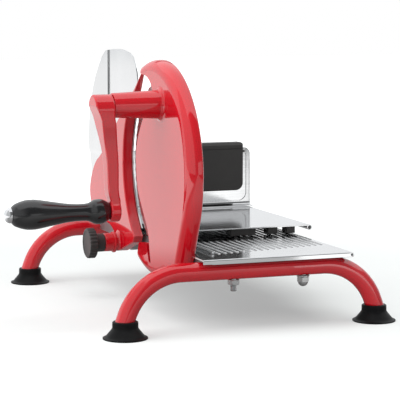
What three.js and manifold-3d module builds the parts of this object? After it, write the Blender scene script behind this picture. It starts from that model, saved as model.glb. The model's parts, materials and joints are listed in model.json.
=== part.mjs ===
// Hand crank meat slicer, an assembly of separate pieces, in millimetres with +Z up.
// +X points from the crank side to the food side, along the blade's axle.
// +Y points from the closed side of the blade ring to the side where food is put on.

import * as THREE from 'three';
import { mergeVertices } from 'three/addons/utils/BufferGeometryUtils.js';
import Module from 'manifold-3d';

const wasm = await Module();
wasm.setup();

// Clearances
const seatGap = 0.1; // flat face resting on a flat face
const fitGap = 0.3; // piece beside a turned or curved neighbour
const runGap = 0.1; // radial running clearance of a shaft
const slideGap = 0.3; // between a glide and what it slides on

// Tube frame
const tubeDiameter = 17;
const tubeWall = 1.5;
const tubeHeight = 55.5; // centre line of the level run
const tubeBendRadius = 54;
const legAngle = THREE.MathUtils.degToRad(70.4); // leg from the level
const legEndHeight = 6.5;
const footSpacingX = 242;
const footSpacingY = 320;

// Suction feet
const footRimDiameter = 40;
const footCollarDiameter = 23;
const footHeight = 15.5;
const footRimWidth = 3;
const footRimEdge = 1.2;
const footCupDepth = 4.5;
const footCollarHeight = 5.5;
const footFlareEase = 1.5;

// Base plate
const plateGap = 2; // tube crest to the underside of the plate
const plateThickness = 1.5;
const plateLeft = -45.8;
const plateTabLeft = -52.5;
const plateTabLength = 30;
const plateRight = 91.6;
const plateHem = 2.3; // radius of the rolled right edge
const plateOverhang = 12; // past the tube's centre line
const plateLip = 3;
const plateLipSlant = 9;
const ribPitch = 6.5;
const ribWidth = 2.6;
const ribHeight = 0.8;
const ribFieldLeft = -25.2;
const ribFieldRight = 86;
const ribEndMargin = 30;
const ribEndSlant = 0.19; // each rib starts farther in than its left neighbour
const studLeft = -19;
const studRight = 49;
const studRadius = 3;
const studEnd = 10.8; // below the tube
const washerRadius = 5.9;
const washerThickness = 1.2;
const nutAcrossFlats = 10;
const nutHeight = 4.6;
const capDomeHeight = 4.4;

// Beam under the plate that carries the blade housing
const beamWebWidth = 16;
const beamFlangeWidth = 36;
const beamFlangeThickness = 3.4;
const beamDrop = 11.5; // underside below the tubes' centre line, at the housing
const beamShallowDrop = 1.5; // and away from the housing
const beamSeatNear = -137;
const beamSeatFar = -64;
const beamBossRadius = 9;
const beamHalfLength = 160;
const tieRadius = 3; // screws from the beam into the housing
const tieHeadRadius = 4.5;
const tieHeadHeight = 3;
const tieDepth = 9;
const tieDrop = 6.7; // below the tubes' centre line
const tiePlaces = [-128, -104, -80];
const spindleDepth = 10;

// Blade and its place
const bladeDiameter = 170;
const bladeThickness = 1.2;
const bladeAxisY = -57;
const bladeBack = -49.5; // face towards the crank
const bladeBevel = 13;
const bladeTeeth = 60;
const bladeToothDepth = 1;
const bladeHoleRadius = 8;

// Blade housing, a casting with a guard rim, a gear case and a pedestal
const bladeRoom = 3; // from the blade's edge to the guard
const rimWall = 14.4;
const rimBottom = 35.1;
const housingFace = -62;
const rimFront = -46.5;
const rimRoundOut = 10.4; // edge towards the crank, across the rim
const rimRoundAlong = 11.5; // the same edge, along the axle
const rimRoundFront = 2.5;
const caseWall = 2.5;
const pocketFloor = -53.5;
const chamberInset = 4;
const upperTipAngle = THREE.MathUtils.degToRad(69);
const lowerTipAngle = THREE.MathUtils.degToRad(-66);
const pedestalFar = -66;
const pedestalBottom = 44;
const pedestalShoulder = THREE.MathUtils.degToRad(204);

// Crank axis, its bearing tube and shaft
const crankOffsetY = -28; // from the blade's axis
const crankOffsetZ = 62.5;
const bearingEnd = -108.4;
const bearingRadiusIn = 13;
const bearingRadiusOut = 11.2;
const bearingFlare = 4;
const bushOuterRadius = 7;
const bushLength = 14;
const shaftRadius = 5;

// Gears: crank gear, idler and blade pinion in one plane
const gearModule = 1.5;
const crankTeeth = 22;
const idlerTeeth = 28;
const pinionTeeth = 16;
const gearWidth = 5;
const gearBacklash = 0.4;
const pressureAngle = THREE.MathUtils.degToRad(20);
const idlerPinRadius = 3;
const axleRadius = 4;
const hubNeckRadius = 9;
const hubFlangeRadius = 20;
const hubFlangeThickness = 1.5;
const lidThickness = 1.8;
const lidBushWall = 3;
const lidScrewRadius = 1.8;
const lidScrewDepth = 4.5;
const lidHeadRadius = 3.2;
const lidHeadHeight = 0.9;
const lidScrewShares = [[-0.146, -0.6], [-0.674, 0.122], [0.166, 0.298]]; // of the rim's radius, from the axle
const pinSeat = 1.5; // depth of the blind holes in the case wall
const bladeScrewRadius = 16;
const bladeScrewHead = 1.5;
const bladeScrewShank = 3;

// Crank arm and handle
const crankRadius = 96.4;
const hubRadius = 12;
const hubThickness = 18.1;
const armHalfWidth = 7;
const setScrewRadius = 2.5;
const bossRadius = 10;
const bossBack = -111.6;
const bossFront = -102.2;
const gripLength = 91.4;
const gripMaxRadius = 13.6;
const gripNeckRadius = 7.8;
const gripBallRadius = 11.1;
const handleBoltRadius = 4;
const handleCapRadius = 7;
const handleCapLength = 6.5;

// Stop plate and its carrier, which set the slice thickness
const carrierFront = -50;
const carrierThickness = 9.5;
const carrierEdgeRoom = 6; // outside the blade's edge
const tipThickness = 3.6; // of the carrier's upper tip
const tipTaperLength = 30;
const stopThickness = 1.2;
const stopEdgeRoom = 3.5;
const stopDiscShare = 1.084; // of the rim's radius
const stopDiscCentre = [1.104, 0.112]; // from the axle, as shares of the rim's radius
const stopBottom = 71;
const stopCreaseY = 107;
const stopCreaseAngle = THREE.MathUtils.degToRad(2.5);
const stopScrewRadius = 2;
const stopScrewDepth = 6;
const stopHeadRadius = 3.3;
const stopScrewShares = [[1.045, 0.3], [1.514, -0.288]]; // of the rim's radius, from the axle
const spindleY = 50;
const spindleDrop = 0.8; // below the tubes' centre line
const spindleRadius = 5;
const sleeveRadius = 9;
const sleeveEnd = -74.8;
const sleeveCollarRadius = 10.4;
const sleeveCollarWidth = 2.6;
const sleeveCollarPlace = -64.5;
const sleeveBushWall = 1.6;
const sleeveBushLength = 10;
const guidePinRadius = 2.5;
const pinCover = 3; // casting left over the pin's blind hole
const pinReach = 6; // past the beam when the plates are closed
const guidePinY = 24;
const guidePinRise = 4.7; // above the spindle
const knobRadius = 15;
const knobWidth = 7.9;
const knobNeckRadius = 9;
const knobNeckWidth = 9.3;
const knobFlutes = 24;
const knobCover = 3; // solid end of the knob

// Food carriage
const carriageLeft = -45.4;
const carriageRight = 108;
const carriageNear = -48;
const carriageFar = 118;
const carriageRise = 9; // above the base plate
const sheet = 1.2;
const carriageHem = 2.6; // radius of the rolled right edge
const glideLength = 12;
const runnerWidth = 12;
const frontGlides = [['front', 23.5, 49.5], ['middle', 62.5, 72.5], ['right', 82, 91]]; // left and right ends
const rearGlideLeft = 23.5;
const rearGlideRight = 91;
const railLeft = -33;
const railWidth = 2.6;
const railHeight = 2.2;

// Back wall with the food pusher that hangs on it
const wallLeft = -40;
const wallRight = 109;
const wallNear = 115.2;
const wallThickness = 1.5;
const wallTop = 139;
const wallCorner = 9;
const wallBend = 5;
const wallFoot = 5;
const wallFlange = 1.5;
const wallFlangeTop = 126;
const stripRight = 92;
const stripHeight = 5;
const stripDepth = 1;
const padLeft = 13;
const padRight = 98;
const padBottom = 94.3;
const padTop = 145;
const padThickness = 8;
const padCorner = 8;
const hookThickness = 3.5;
const hookDrop = 17;
const stopPinRadius = 1.2;

// Values that follow from the sizes above
const tubeCrest = tubeHeight + tubeDiameter / 2;
const tubeUnder = tubeHeight - tubeDiameter / 2;
const plateLength = footSpacingY + 2 * plateOverhang;
const plateUnder = tubeCrest + plateGap;
const plateTop = plateUnder + plateThickness;
const beamBottom = tubeHeight - beamDrop;
const beamShallow = tubeHeight - beamShallowDrop;
const tieZ = tubeHeight - tieDrop;
const spindleZ = tubeHeight - spindleDrop;
const guidePinZ = spindleZ + guidePinRise;
const carriageTop = plateTop + carriageRise;
const ribTop = plateTop + ribHeight;
const beamLeft = rimFront + seatGap;
const bladeFront = bladeBack + bladeThickness;
const bladeRadius = bladeDiameter / 2;
const rimInnerRadius = bladeRadius + bladeRoom;
const rimRadius = rimInnerRadius + rimWall;
const bladeAxisZ = rimBottom + rimRadius;
const crankAxisY = bladeAxisY + crankOffsetY;
const crankAxisZ = bladeAxisZ + crankOffsetZ;
const carrierEdgeRadius = bladeRadius + carrierEdgeRoom;
const stopEdgeRadius = bladeRadius + stopEdgeRoom;
const chamberBack = housingFace + caseWall;
const gearBack = chamberBack + fitGap;
const gearFront = gearBack + gearWidth;
const carrierBack = carrierFront - carrierThickness;
const glideBottom = ribTop + slideGap;
const glideTop = carriageTop - sheet - seatGap;
const wallFar = wallNear + wallThickness;

// Finishes
const finish = (color, roughness, metalness) => ({ color, roughness, metalness });
const redPaint = finish(0xb5121f, 0.22, 0.1);
const blackRubber = finish(0x1a1a1b, 0.7, 0);
const blackPlastic = finish(0x242425, 0.45, 0);
const blackGloss = finish(0x0d0d0e, 0.15, 0);
const polished = finish(0xc9cbcc, 0.14, 1);
const bladeSteel = finish(0xd2d4d5, 0.2, 1);
const zincSteel = finish(0xa9abad, 0.35, 1);
const castAluminium = finish(0x9a9c9e, 0.5, 1);
const bronze = finish(0xa77b3f, 0.4, 1);
const whiteNylon = finish(0xe4e0d4, 0.5, 0);
const chrome = finish(0xdcdee0, 0.06, 1);

// Solids and booleans

function toSolid(geometry) {
  const bare = geometry.clone();
  bare.deleteAttribute('normal');
  bare.deleteAttribute('uv');
  const merged = mergeVertices(bare, 1e-4);
  const corners = merged.index.array;
  const kept = [];
  for (let i = 0; i < corners.length; i += 3) {
    const [a, b, c] = [corners[i], corners[i + 1], corners[i + 2]];
    if (a !== b && b !== c && c !== a) kept.push(a, b, c);
  }
  const vertProperties = new Float32Array(merged.attributes.position.array);
  const triVerts = new Uint32Array(kept);
  return new wasm.Manifold(new wasm.Mesh({ numProp: 3, vertProperties, triVerts }));
}

function join(first, ...others) {
  return others.reduce((whole, piece) => whole.add(piece), first);
}

function cut(whole, ...tools) {
  return tools.reduce((rest, tool) => rest.subtract(tool), whole);
}

function box(x0, x1, y0, y1, z0, z1) {
  const geometry = new THREE.BoxGeometry(x1 - x0, y1 - y0, z1 - z0);
  geometry.translate((x0 + x1) / 2, (y0 + y1) / 2, (z0 + z1) / 2);
  return toSolid(geometry);
}

// Profile points are [radius, height along the axis].
function lathe(axis, centre, profile, segments) {
  const geometry = new THREE.LatheGeometry(profile.map(([r, h]) => new THREE.Vector2(r, h)), segments);
  if (axis === 'x') geometry.rotateZ(-Math.PI / 2);
  if (axis === 'z') geometry.rotateX(Math.PI / 2);
  geometry.translate(...centre);
  const solid = toSolid(geometry);
  return solid.volume() < 0 ? toSolid(flipped(geometry)) : solid;
}

function flipped(geometry) {
  const turned = geometry.clone();
  const corners = turned.index.array;
  for (let i = 0; i < corners.length; i += 3) {
    [corners[i], corners[i + 1]] = [corners[i + 1], corners[i]];
  }
  return turned;
}

function rodX(radius, x0, x1, y, z, segments = 24) {
  return lathe('x', [0, y, z], [[0, x0], [radius, x0], [radius, x1], [0, x1]], segments);
}

function ringX(inner, outer, x0, x1, y, z, segments = 24) {
  return cut(rodX(outer, x0, x1, y, z, segments), rodX(inner, x0 - 1, x1 + 1, y, z, segments));
}

function rodZ(radius, z0, z1, x, y, segments = 20) {
  return lathe('z', [x, y, 0], [[0, z0], [radius, z0], [radius, z1], [0, z1]], segments);
}

// A (y, z) outline pushed along X.
function prismX(shape, x0, x1, curveSegments = 12) {
  const geometry = new THREE.ExtrudeGeometry(shape, { depth: x1 - x0, bevelEnabled: false, curveSegments });
  const axes = new THREE.Matrix4().makeBasis(
    new THREE.Vector3(0, 1, 0), new THREE.Vector3(0, 0, 1), new THREE.Vector3(1, 0, 0));
  geometry.applyMatrix4(axes);
  geometry.translate(x0, 0, 0);
  return toSolid(geometry);
}

// An (x, z) outline pushed along Y.
function prismY(shape, y0, y1, curveSegments = 6) {
  const geometry = new THREE.ExtrudeGeometry(shape, { depth: y1 - y0, bevelEnabled: false, curveSegments });
  geometry.rotateX(Math.PI / 2);
  geometry.translate(0, y1, 0);
  return toSolid(geometry);
}

function prismZ(shape, z0, z1) {
  const geometry = new THREE.ExtrudeGeometry(shape, { depth: z1 - z0, bevelEnabled: false });
  geometry.translate(0, 0, z0);
  return toSolid(geometry);
}

function outline(points) {
  return new THREE.Shape(points.map(([u, v]) => new THREE.Vector2(u, v)));
}

function arcPoints(cu, cv, radius, from, to, steps) {
  return Array.from({ length: steps + 1 }, (_, i) => {
    const angle = from + ((to - from) * i) / steps;
    return [cu + radius * Math.cos(angle), cv + radius * Math.sin(angle)];
  });
}

function curvePoints(points, steps) {
  const curve = new THREE.SplineCurve(points.map(([u, v]) => new THREE.Vector2(u, v)));
  return curve.getPoints(steps).map((p) => [p.x, p.y]);
}

const slicer = new THREE.Group();
const machine = new THREE.Group();
slicer.add(machine);

function piece(name, solid, look) {
  const { vertProperties, triVerts } = solid.getMesh();
  const geometry = new THREE.BufferGeometry();
  geometry.setAttribute('position', new THREE.BufferAttribute(vertProperties, 3));
  geometry.setIndex(new THREE.BufferAttribute(triVerts, 1));
  geometry.computeVertexNormals();
  const mesh = new THREE.Mesh(geometry, new THREE.MeshStandardMaterial(look));
  mesh.name = name;
  machine.add(mesh);
}

// A path whose steps fall where they are wanted: one on a straight, several on a bend.
class StationPath extends THREE.Curve {
  constructor(stations) {
    super();
    this.stations = stations;
  }

  getPoint(t, target = new THREE.Vector3()) {
    const place = t * (this.stations.length - 1);
    const i = Math.min(Math.floor(place), this.stations.length - 2);
    return target.lerpVectors(this.stations[i], this.stations[i + 1], place - i);
  }

  getUtoTmapping(u) {
    return u;
  }

  getTangent(t, target = new THREE.Vector3()) {
    const last = this.stations.length - 1;
    const i = Math.round(t * last);
    const before = this.stations[Math.max(i - 1, 0)];
    const after = this.stations[Math.min(i + 1, last)];
    return target.subVectors(after, before).normalize();
  }
}

// Tube frame: two inverted U tubes that stand on suction feet

const bendSteps = 6;
const bendTangent = tubeBendRadius * Math.tan(legAngle / 2);
const legRise = tubeHeight - legEndHeight;
const legFootInset = (footHeight - legEndHeight) / Math.tan(legAngle);
const legEndX = footSpacingX / 2 + legFootInset;
const cornerX = legEndX - legRise / Math.tan(legAngle);
const bendCentreX = cornerX - bendTangent;

function tubeStations(y) {
  const right = arcPoints(bendCentreX, tubeHeight - tubeBendRadius, tubeBendRadius,
    Math.PI / 2, Math.PI / 2 - legAngle, bendSteps);
  right.push([legEndX, legEndHeight]);
  const left = right.map(([x, z]) => [-x, z]).reverse();
  return [...left, ...right].map(([x, z]) => new THREE.Vector3(x, y, z));
}

function sweptTube(stations, outerRadius, innerRadius) {
  const section = new THREE.Shape().absarc(0, 0, outerRadius, 0, 2 * Math.PI);
  const bore = new THREE.Path().absarc(0, 0, innerRadius, 0, 2 * Math.PI, true);
  if (innerRadius > 0) section.holes.push(bore);
  const options = { steps: stations.length - 1, extrudePath: new StationPath(stations), curveSegments: 10 };
  const solid = toSolid(new THREE.ExtrudeGeometry(section, options));
  return solid;
}

const studPlaces = [studLeft, studRight];
const tubeSides = [['front', -footSpacingY / 2], ['rear', footSpacingY / 2]];

for (const [side, y] of tubeSides) {
  const tube = sweptTube(tubeStations(y), tubeDiameter / 2, tubeDiameter / 2 - tubeWall);
  const holes = studPlaces.map((x) => rodZ(studRadius + fitGap, tubeUnder - 1, tubeCrest + 1, x, y));
  piece(`${side}_tube`, cut(tube, ...holes), redPaint);
}

function footProfile() {
  const rim = footRimDiameter / 2;
  const collar = footCollarDiameter / 2;
  const collarFoot = footHeight - footCollarHeight;
  const flare = new THREE.QuadraticBezierCurve(new THREE.Vector2(rim, footRimEdge),
    new THREE.Vector2(collar + footFlareEase, footRimEdge + 2 * footFlareEase), new THREE.Vector2(collar, collarFoot));
  const dome = new THREE.QuadraticBezierCurve(new THREE.Vector2(0, footCupDepth),
    new THREE.Vector2(collar, footCupDepth), new THREE.Vector2(rim - footRimWidth, 0));
  return [...dome.getPoints(3), new THREE.Vector2(rim, 0), ...flare.getPoints(4),
    new THREE.Vector2(collar, footHeight), new THREE.Vector2(0, footHeight)].map((p) => [p.x, p.y]);
}

// The leg's room in the foot: the leg's own line, carried a little past the leg's end.
function footSocket(y, sign) {
  const leg = new THREE.Vector3(-sign * Math.cos(legAngle), 0, Math.sin(legAngle));
  const end = new THREE.Vector3(sign * legEndX, y, legEndHeight);
  const stations = [-fitGap, footHeight / 2, 2 * footHeight].map((reach) => end.clone().addScaledVector(leg, reach));
  return sweptTube(stations, tubeDiameter / 2 + fitGap, 0);
}

for (const [side, y] of tubeSides) {
  for (const [hand, sign] of [['left', -1], ['right', 1]]) {
    const foot = lathe('z', [sign * footSpacingX / 2, y, 0], footProfile(), 20);
    piece(`foot_${side}_${hand}`, cut(foot, footSocket(y, sign)), blackRubber);
  }
}

// Base plate with its studs and nuts

function basePlate() {
  const near = -plateLength / 2;
  const far = plateLength / 2;
  const rimReach = Math.sqrt(rimRadius ** 2 - (bladeAxisZ - plateUnder) ** 2);
  const tabEnd = Math.min(near + plateTabLength, bladeAxisY - rimReach - plateThickness);
  const sheetOutline = outline([[plateTabLeft, near], [plateRight, near], [plateRight, far],
    [plateLeft, far], [plateLeft, tabEnd], [plateTabLeft, tabEnd]]);
  const top = prismZ(sheetOutline, plateUnder, plateTop);
  const lipNear = prismY(outline([[plateTabLeft, plateTop], [plateTabLeft + plateLipSlant, plateUnder - plateLip],
    [plateRight, plateUnder - plateLip], [plateRight, plateTop]]), near - plateThickness, near);
  const lipFar = box(plateLeft, plateRight, far, far + plateThickness, plateUnder - plateLip, plateTop);
  const hem = new THREE.CylinderGeometry(plateHem, plateHem, plateLength + 2 * plateThickness, 20);
  hem.translate(plateRight, 0, plateTop - plateHem);
  const hemRight = toSolid(hem);
  const ribs = [];
  for (let x = ribFieldLeft; x <= ribFieldRight; x += ribPitch) {
    const start = near + ribEndMargin + (x - ribFieldLeft) * ribEndSlant;
    ribs.push(box(x - ribWidth / 2, x + ribWidth / 2, start, far - ribEndMargin, plateTop - seatGap, ribTop));
  }
  const studs = tubeSides.flatMap(([, y]) => [studAt(studLeft, y, tubeUnder - studEnd),
    studAt(studRight, y, nutBottom - seatGap)]);
  return join(top, lipNear, lipFar, hemRight, ...ribs, ...studs);
}

const washerTop = tubeUnder - seatGap;
const washerBottom = washerTop - washerThickness;
const nutTop = washerBottom - seatGap; // on a washer
const nutBottom = nutTop - nutHeight;
const hexRadius = nutAcrossFlats / 2 / Math.cos(Math.PI / 6);
const tubeYs = tubeSides.map(([, y]) => y);
const hexTop = washerTop;

function studAt(x, y, end) {
  return rodZ(studRadius, end, plateTop - seatGap, x, y, 16);
}

function washerAt(x, y, z0, z1) {
  return cut(rodZ(washerRadius, z0, z1, x, y, 24), rodZ(studRadius + fitGap, z0 - 1, z1 + 1, x, y, 16));
}

piece('base_plate', basePlate(), polished);

for (const [side, y] of tubeSides) {
  piece(`stud_washer_${side}`, washerAt(studRight, y, washerBottom, washerTop), zincSteel);
  piece(`plate_spacer_${side}`, washerAt(studRight, y, tubeCrest + seatGap, plateUnder - seatGap), zincSteel);
  piece(`hex_nut_${side}`, cut(rodZ(hexRadius, hexTop - nutHeight, hexTop, studLeft, y, 6),
    rodZ(studRadius + seatGap, hexTop - nutHeight - 1, hexTop + 1, studLeft, y, 16)), zincSteel);
}

function capNut(x, y) {
  const domeFoot = nutAcrossFlats / 2 - fitGap;
  const dome = arcPoints(0, 0, 1, -Math.PI / 2, 0, 5)
    .map(([r, h]) => [Math.max(r, 0) * domeFoot, nutBottom + h * capDomeHeight]);
  const shell = join(rodZ(hexRadius, nutBottom, nutTop, x, y, 6),
    lathe('z', [x, y, 0], [...dome, [domeFoot, nutBottom + seatGap], [0, nutBottom + seatGap]], 20));
  return cut(shell, rodZ(studRadius + seatGap, nutBottom - 1, nutTop + 1, x, y, 16));
}

tubeSides.forEach(([side, y]) => piece(`cap_nut_${side}`, capNut(studRight, y), zincSteel));

// Beam that joins the tubes and carries the blade housing and the slice guide

const beamTop = plateUnder - seatGap;
const beamWebRight = beamLeft + beamWebWidth;

function baseBeam() {
  const web = box(beamLeft, beamWebRight, -beamHalfLength, beamHalfLength, beamShallow, beamTop);
  const seat = box(beamLeft, beamWebRight, beamSeatNear, beamSeatFar, beamBottom, beamTop);
  const boss = rodX(beamBossRadius, beamLeft, beamWebRight, spindleY, spindleZ);
  const flange = box(beamLeft, beamLeft + beamFlangeWidth, -beamHalfLength, beamHalfLength,
    beamTop - beamFlangeThickness, beamTop);
  const saddles = tubeYs.map((y) =>
    rodX(tubeDiameter / 2 + fitGap, beamLeft - 1, beamLeft + beamFlangeWidth + 1, y, tubeHeight, 32));
  const studHoles = tubeYs.map((y) =>
    rodZ(studRadius + fitGap, beamBottom, beamTop + 1, studLeft, y));
  const tieHoles = tiePlaces.map((y) => rodX(tieRadius + seatGap, beamLeft - 1, beamWebRight + 1, y, tieZ, 16));
  const spindleHole = rodX(spindleRadius + seatGap, beamLeft - 1, beamLeft + spindleDepth, spindleY, spindleZ);
  const pinHole = rodX(guidePinRadius + runGap, beamLeft - 1, beamWebRight + 1, guidePinY, guidePinZ, 24);
  return cut(join(web, seat, boss, flange), ...saddles, ...studHoles, ...tieHoles, spindleHole, pinHole);
}

piece('base_beam', baseBeam(), castAluminium);

tiePlaces.forEach((y, i) => piece(`housing_screw_${i + 1}`, join(
  rodX(tieRadius, beamLeft - tieDepth, beamWebRight + 1, y, tieZ, 16),
  rodX(tieHeadRadius, beamWebRight + seatGap, beamWebRight + seatGap + tieHeadHeight, y, tieZ, 20)), zincSteel));

// Gear train geometry in the (y, z) plane

function gearRadius(teeth) {
  return (gearModule * teeth) / 2;
}

function involute(baseRadius, radius) {
  const ratio = Math.max(radius / baseRadius, 1);
  const roll = Math.sqrt(ratio ** 2 - 1);
  return roll - Math.atan(roll);
}

function gearOutline(teeth, phase, cy, cz) {
  const pitch = gearRadius(teeth);
  const base = pitch * Math.cos(pressureAngle);
  const tip = pitch + gearModule;
  const root = pitch - 1.25 * gearModule;
  const flankStart = Math.max(base, root);
  const radii = [flankStart, pitch, tip];
  const halfTooth = Math.PI / (2 * teeth) - gearBacklash / (2 * pitch) + involute(base, pitch);
  const points = [];
  for (let i = 0; i < teeth; i += 1) {
    const middle = phase + (2 * Math.PI * i) / teeth;
    const rising = radii.map((r) => [r, middle - halfTooth + involute(base, r)]);
    const falling = radii.map((r) => [r, middle + halfTooth - involute(base, r)]).reverse();
    const side = root < flankStart ? [[root, rising[0][1]]] : [];
    const end = root < flankStart ? [[root, falling[falling.length - 1][1]]] : [];
    [...side, ...rising, ...falling, ...end].forEach(([r, a]) => {
      points.push([cy + r * Math.cos(a), cz + r * Math.sin(a)]);
    });
  }
  return outline(points);
}

// The phase that puts a gap of the second gear on a tooth of the first.
function meshPhase(firstTeeth, firstPhase, secondTeeth, direction) {
  const firstPart = ((direction - firstPhase) * firstTeeth) / (2 * Math.PI);
  const secondPart = 0.5 - firstPart;
  return direction + Math.PI - (secondPart * 2 * Math.PI) / secondTeeth;
}

const crankToBlade = Math.hypot(bladeAxisY - crankAxisY, bladeAxisZ - crankAxisZ);
const crankToIdler = gearRadius(crankTeeth) + gearRadius(idlerTeeth);
const idlerToBlade = gearRadius(idlerTeeth) + gearRadius(pinionTeeth);
const idlerAlong = (crankToIdler ** 2 - idlerToBlade ** 2 + crankToBlade ** 2) / (2 * crankToBlade);
const idlerAside = Math.sqrt(Math.max(crankToIdler ** 2 - idlerAlong ** 2, 0));
const towardsBlade = Math.atan2(bladeAxisZ - crankAxisZ, bladeAxisY - crankAxisY);
const idlerY = crankAxisY + idlerAlong * Math.cos(towardsBlade) + idlerAside * Math.sin(towardsBlade);
const idlerZ = crankAxisZ + idlerAlong * Math.sin(towardsBlade) - idlerAside * Math.cos(towardsBlade);
const crankPhase = 0;
const idlerDirection = Math.atan2(idlerZ - crankAxisZ, idlerY - crankAxisY);
const idlerPhase = meshPhase(crankTeeth, crankPhase, idlerTeeth, idlerDirection);
const bladeDirection = Math.atan2(bladeAxisZ - idlerZ, bladeAxisY - idlerY);
const pinionPhase = meshPhase(idlerTeeth, idlerPhase, pinionTeeth, bladeDirection);

// Blade housing

// Points given from the blade's axis as shares of the rim's radius.
function fromAxis(shares) {
  return shares.map(([u, v]) => [bladeAxisY + u * rimRadius, bladeAxisZ + v * rimRadius]);
}

// Far side of the casting, from the upper tip down past the gear case to the lower tip.
const upperNotch = fromAxis([[0.27, 0.86], [0.11, 0.845], [0, 0.795], [-0.055, 0.72], [-0.03, 0.61],
  [0.1, 0.52]]);
const caseEdge = fromAxis([[0.215, 0.44], [0.337, 0.288], [0.405, 0.142], [0.41, 0.005], [0.366, -0.21],
  [0.225, -0.4], [0.083, -0.571], [0.03, -0.757]]);
const lowerNotch = fromAxis([[0, -0.864], [0.054, -0.864], [0.093, -0.776], [0.098, -0.688]]);
const lowerTip = fromAxis([[0.342, -0.718], [0.371, -0.796]]);
const caseCentreY = bladeAxisY - 0.215 * rimRadius; // centre of the gear case's far edge

function housingOutline() {
  const outer = arcPoints(bladeAxisY, bladeAxisZ, rimRadius + 1, upperTipAngle, 2 * Math.PI + lowerTipAngle, 64);
  const farSide = [...lowerTip.slice().reverse(), ...lowerNotch.slice().reverse(),
    ...curvePoints([...caseEdge].reverse(), 20), ...curvePoints([...upperNotch].reverse(), 12)];
  return outline([...outer, ...farSide]);
}

function rimProfile() {
  const back = arcPoints(0, 0, 1, -Math.PI / 2, 0, 6).map(([u, v]) =>
    [rimRadius - rimRoundOut + u * rimRoundOut, housingFace + rimRoundAlong + v * rimRoundAlong]);
  const front = arcPoints(rimRadius - rimRoundFront, rimFront - rimRoundFront, rimRoundFront, 0, Math.PI / 2, 3);
  return [[0, housingFace], ...back, ...front, [0, rimFront]];
}

// The rim runs on straight down from its shoulder, so the pedestal has the rim's own profile.
function pedestal() {
  const length = 2 * rimRoundOut + rimRadius * Math.sin(pedestalShoulder - Math.PI);
  const slab = new THREE.ExtrudeGeometry(outline(rimProfile()), { depth: length, bevelEnabled: false });
  const outward = new THREE.Vector3(0, Math.cos(pedestalShoulder), Math.sin(pedestalShoulder));
  const up = new THREE.Vector3(0, Math.sin(pedestalShoulder), -Math.cos(pedestalShoulder));
  slab.translate(0, 0, -length);
  slab.applyMatrix4(new THREE.Matrix4().makeBasis(outward, new THREE.Vector3(1, 0, 0), up));
  slab.translate(0, bladeAxisY, bladeAxisZ);
  const straight = toSolid(slab);
  const near = bladeAxisY - rimRadius;
  const body = outline([[near, pedestalBottom], [pedestalFar, pedestalBottom],
    [pedestalFar + rimRoundOut, pedestalBottom + rimWall], [bladeAxisY, bladeAxisZ], [near, bladeAxisZ]]);
  return straight.intersect(prismX(body, housingFace - 1, rimFront + 1));
}

function gearChamber() {
  const inset = caseEdge.slice(0, -1).map(([y, z]) => {
    const out = Math.hypot(y - caseCentreY, z - bladeAxisZ);
    const keep = (out - chamberInset) / out;
    return [caseCentreY + (y - caseCentreY) * keep, bladeAxisZ + (z - bladeAxisZ) * keep];
  });
  const reach = gearRadius(idlerTeeth) + gearModule + 2 * caseWall;
  const nearSide = arcPoints(caseCentreY, bladeAxisZ, 0.625 * rimRadius - chamberInset, -0.7 * Math.PI, -1.25 * Math.PI, 16);
  const core = outline([...curvePoints(inset, 20), ...nearSide]);
  const crankRoom = rodX(gearRadius(crankTeeth) + gearModule + caseWall, chamberBack, pocketFloor + 1,
    crankAxisY, crankAxisZ, 40);
  const idlerRoom = rodX(reach, chamberBack, pocketFloor + 1, idlerY, idlerZ, 32);
  return join(prismX(core, chamberBack, pocketFloor + 1), crankRoom, idlerRoom);
}

function bearingTube() {
  const face = housingFace + 1;
  const flare = arcPoints(bearingRadiusIn + bearingFlare, housingFace - bearingFlare, bearingFlare,
    Math.PI / 2, Math.PI, 5);
  const profile = [[0, face], [bearingRadiusIn + bearingFlare, face], ...flare,
    [bearingRadiusOut, bearingEnd], [0, bearingEnd]];
  return lathe('x', [0, crankAxisY, crankAxisZ], profile, 36);
}

const lidBack = pocketFloor + seatGap;
const lidFront = lidBack + lidThickness;
const lidScrewPlaces = fromAxis(lidScrewShares);

function bladeHousing() {
  const rounded = lathe('x', [0, bladeAxisY, bladeAxisZ], rimProfile(), 72);
  const trimmed = rounded.intersect(prismX(housingOutline(), housingFace - 1, rimFront + 1));
  const pocket = rodX(rimInnerRadius, pocketFloor, rimFront + 1, bladeAxisY, bladeAxisZ, 72);
  const whole = join(trimmed, pedestal().subtract(farCut()), bearingTube());
  const bore = rodX(bushOuterRadius + seatGap, bearingEnd - 1, chamberBack + 1, crankAxisY, crankAxisZ);
  const idlerSeat = rodX(idlerPinRadius + seatGap, chamberBack - pinSeat, chamberBack + 1, idlerY, idlerZ, 16);
  const axleSeat = rodX(axleRadius + seatGap, chamberBack - pinSeat, chamberBack + 1, bladeAxisY, bladeAxisZ, 16);
  const ties = tiePlaces.map((y) =>
    rodX(tieRadius + seatGap, beamLeft - tieDepth - seatGap, rimFront + 1, y, tieZ, 16));
  const lidHoles = lidScrewPlaces.map(([y, z]) =>
    rodX(lidScrewRadius + seatGap, chamberBack, pocketFloor + 1, y, z, 12));
  return cut(whole, pocket, gearChamber(), bore, idlerSeat, axleSeat, ...ties, ...lidHoles);
}

// What the pedestal must not fill: the far side beyond the gear case.
function farCut() {
  const edge = curvePoints(caseEdge, 20);
  const floor = pedestalBottom - rimWall;
  const beyond = outline([...edge, [bladeAxisY, pedestalBottom], [bladeAxisY, floor],
    [bladeAxisY + rimRadius, floor], [bladeAxisY + rimRadius, crankAxisZ]]);
  return prismX(beyond, housingFace - 1, rimFront + 1);
}

piece('blade_housing', bladeHousing(), redPaint);

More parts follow.
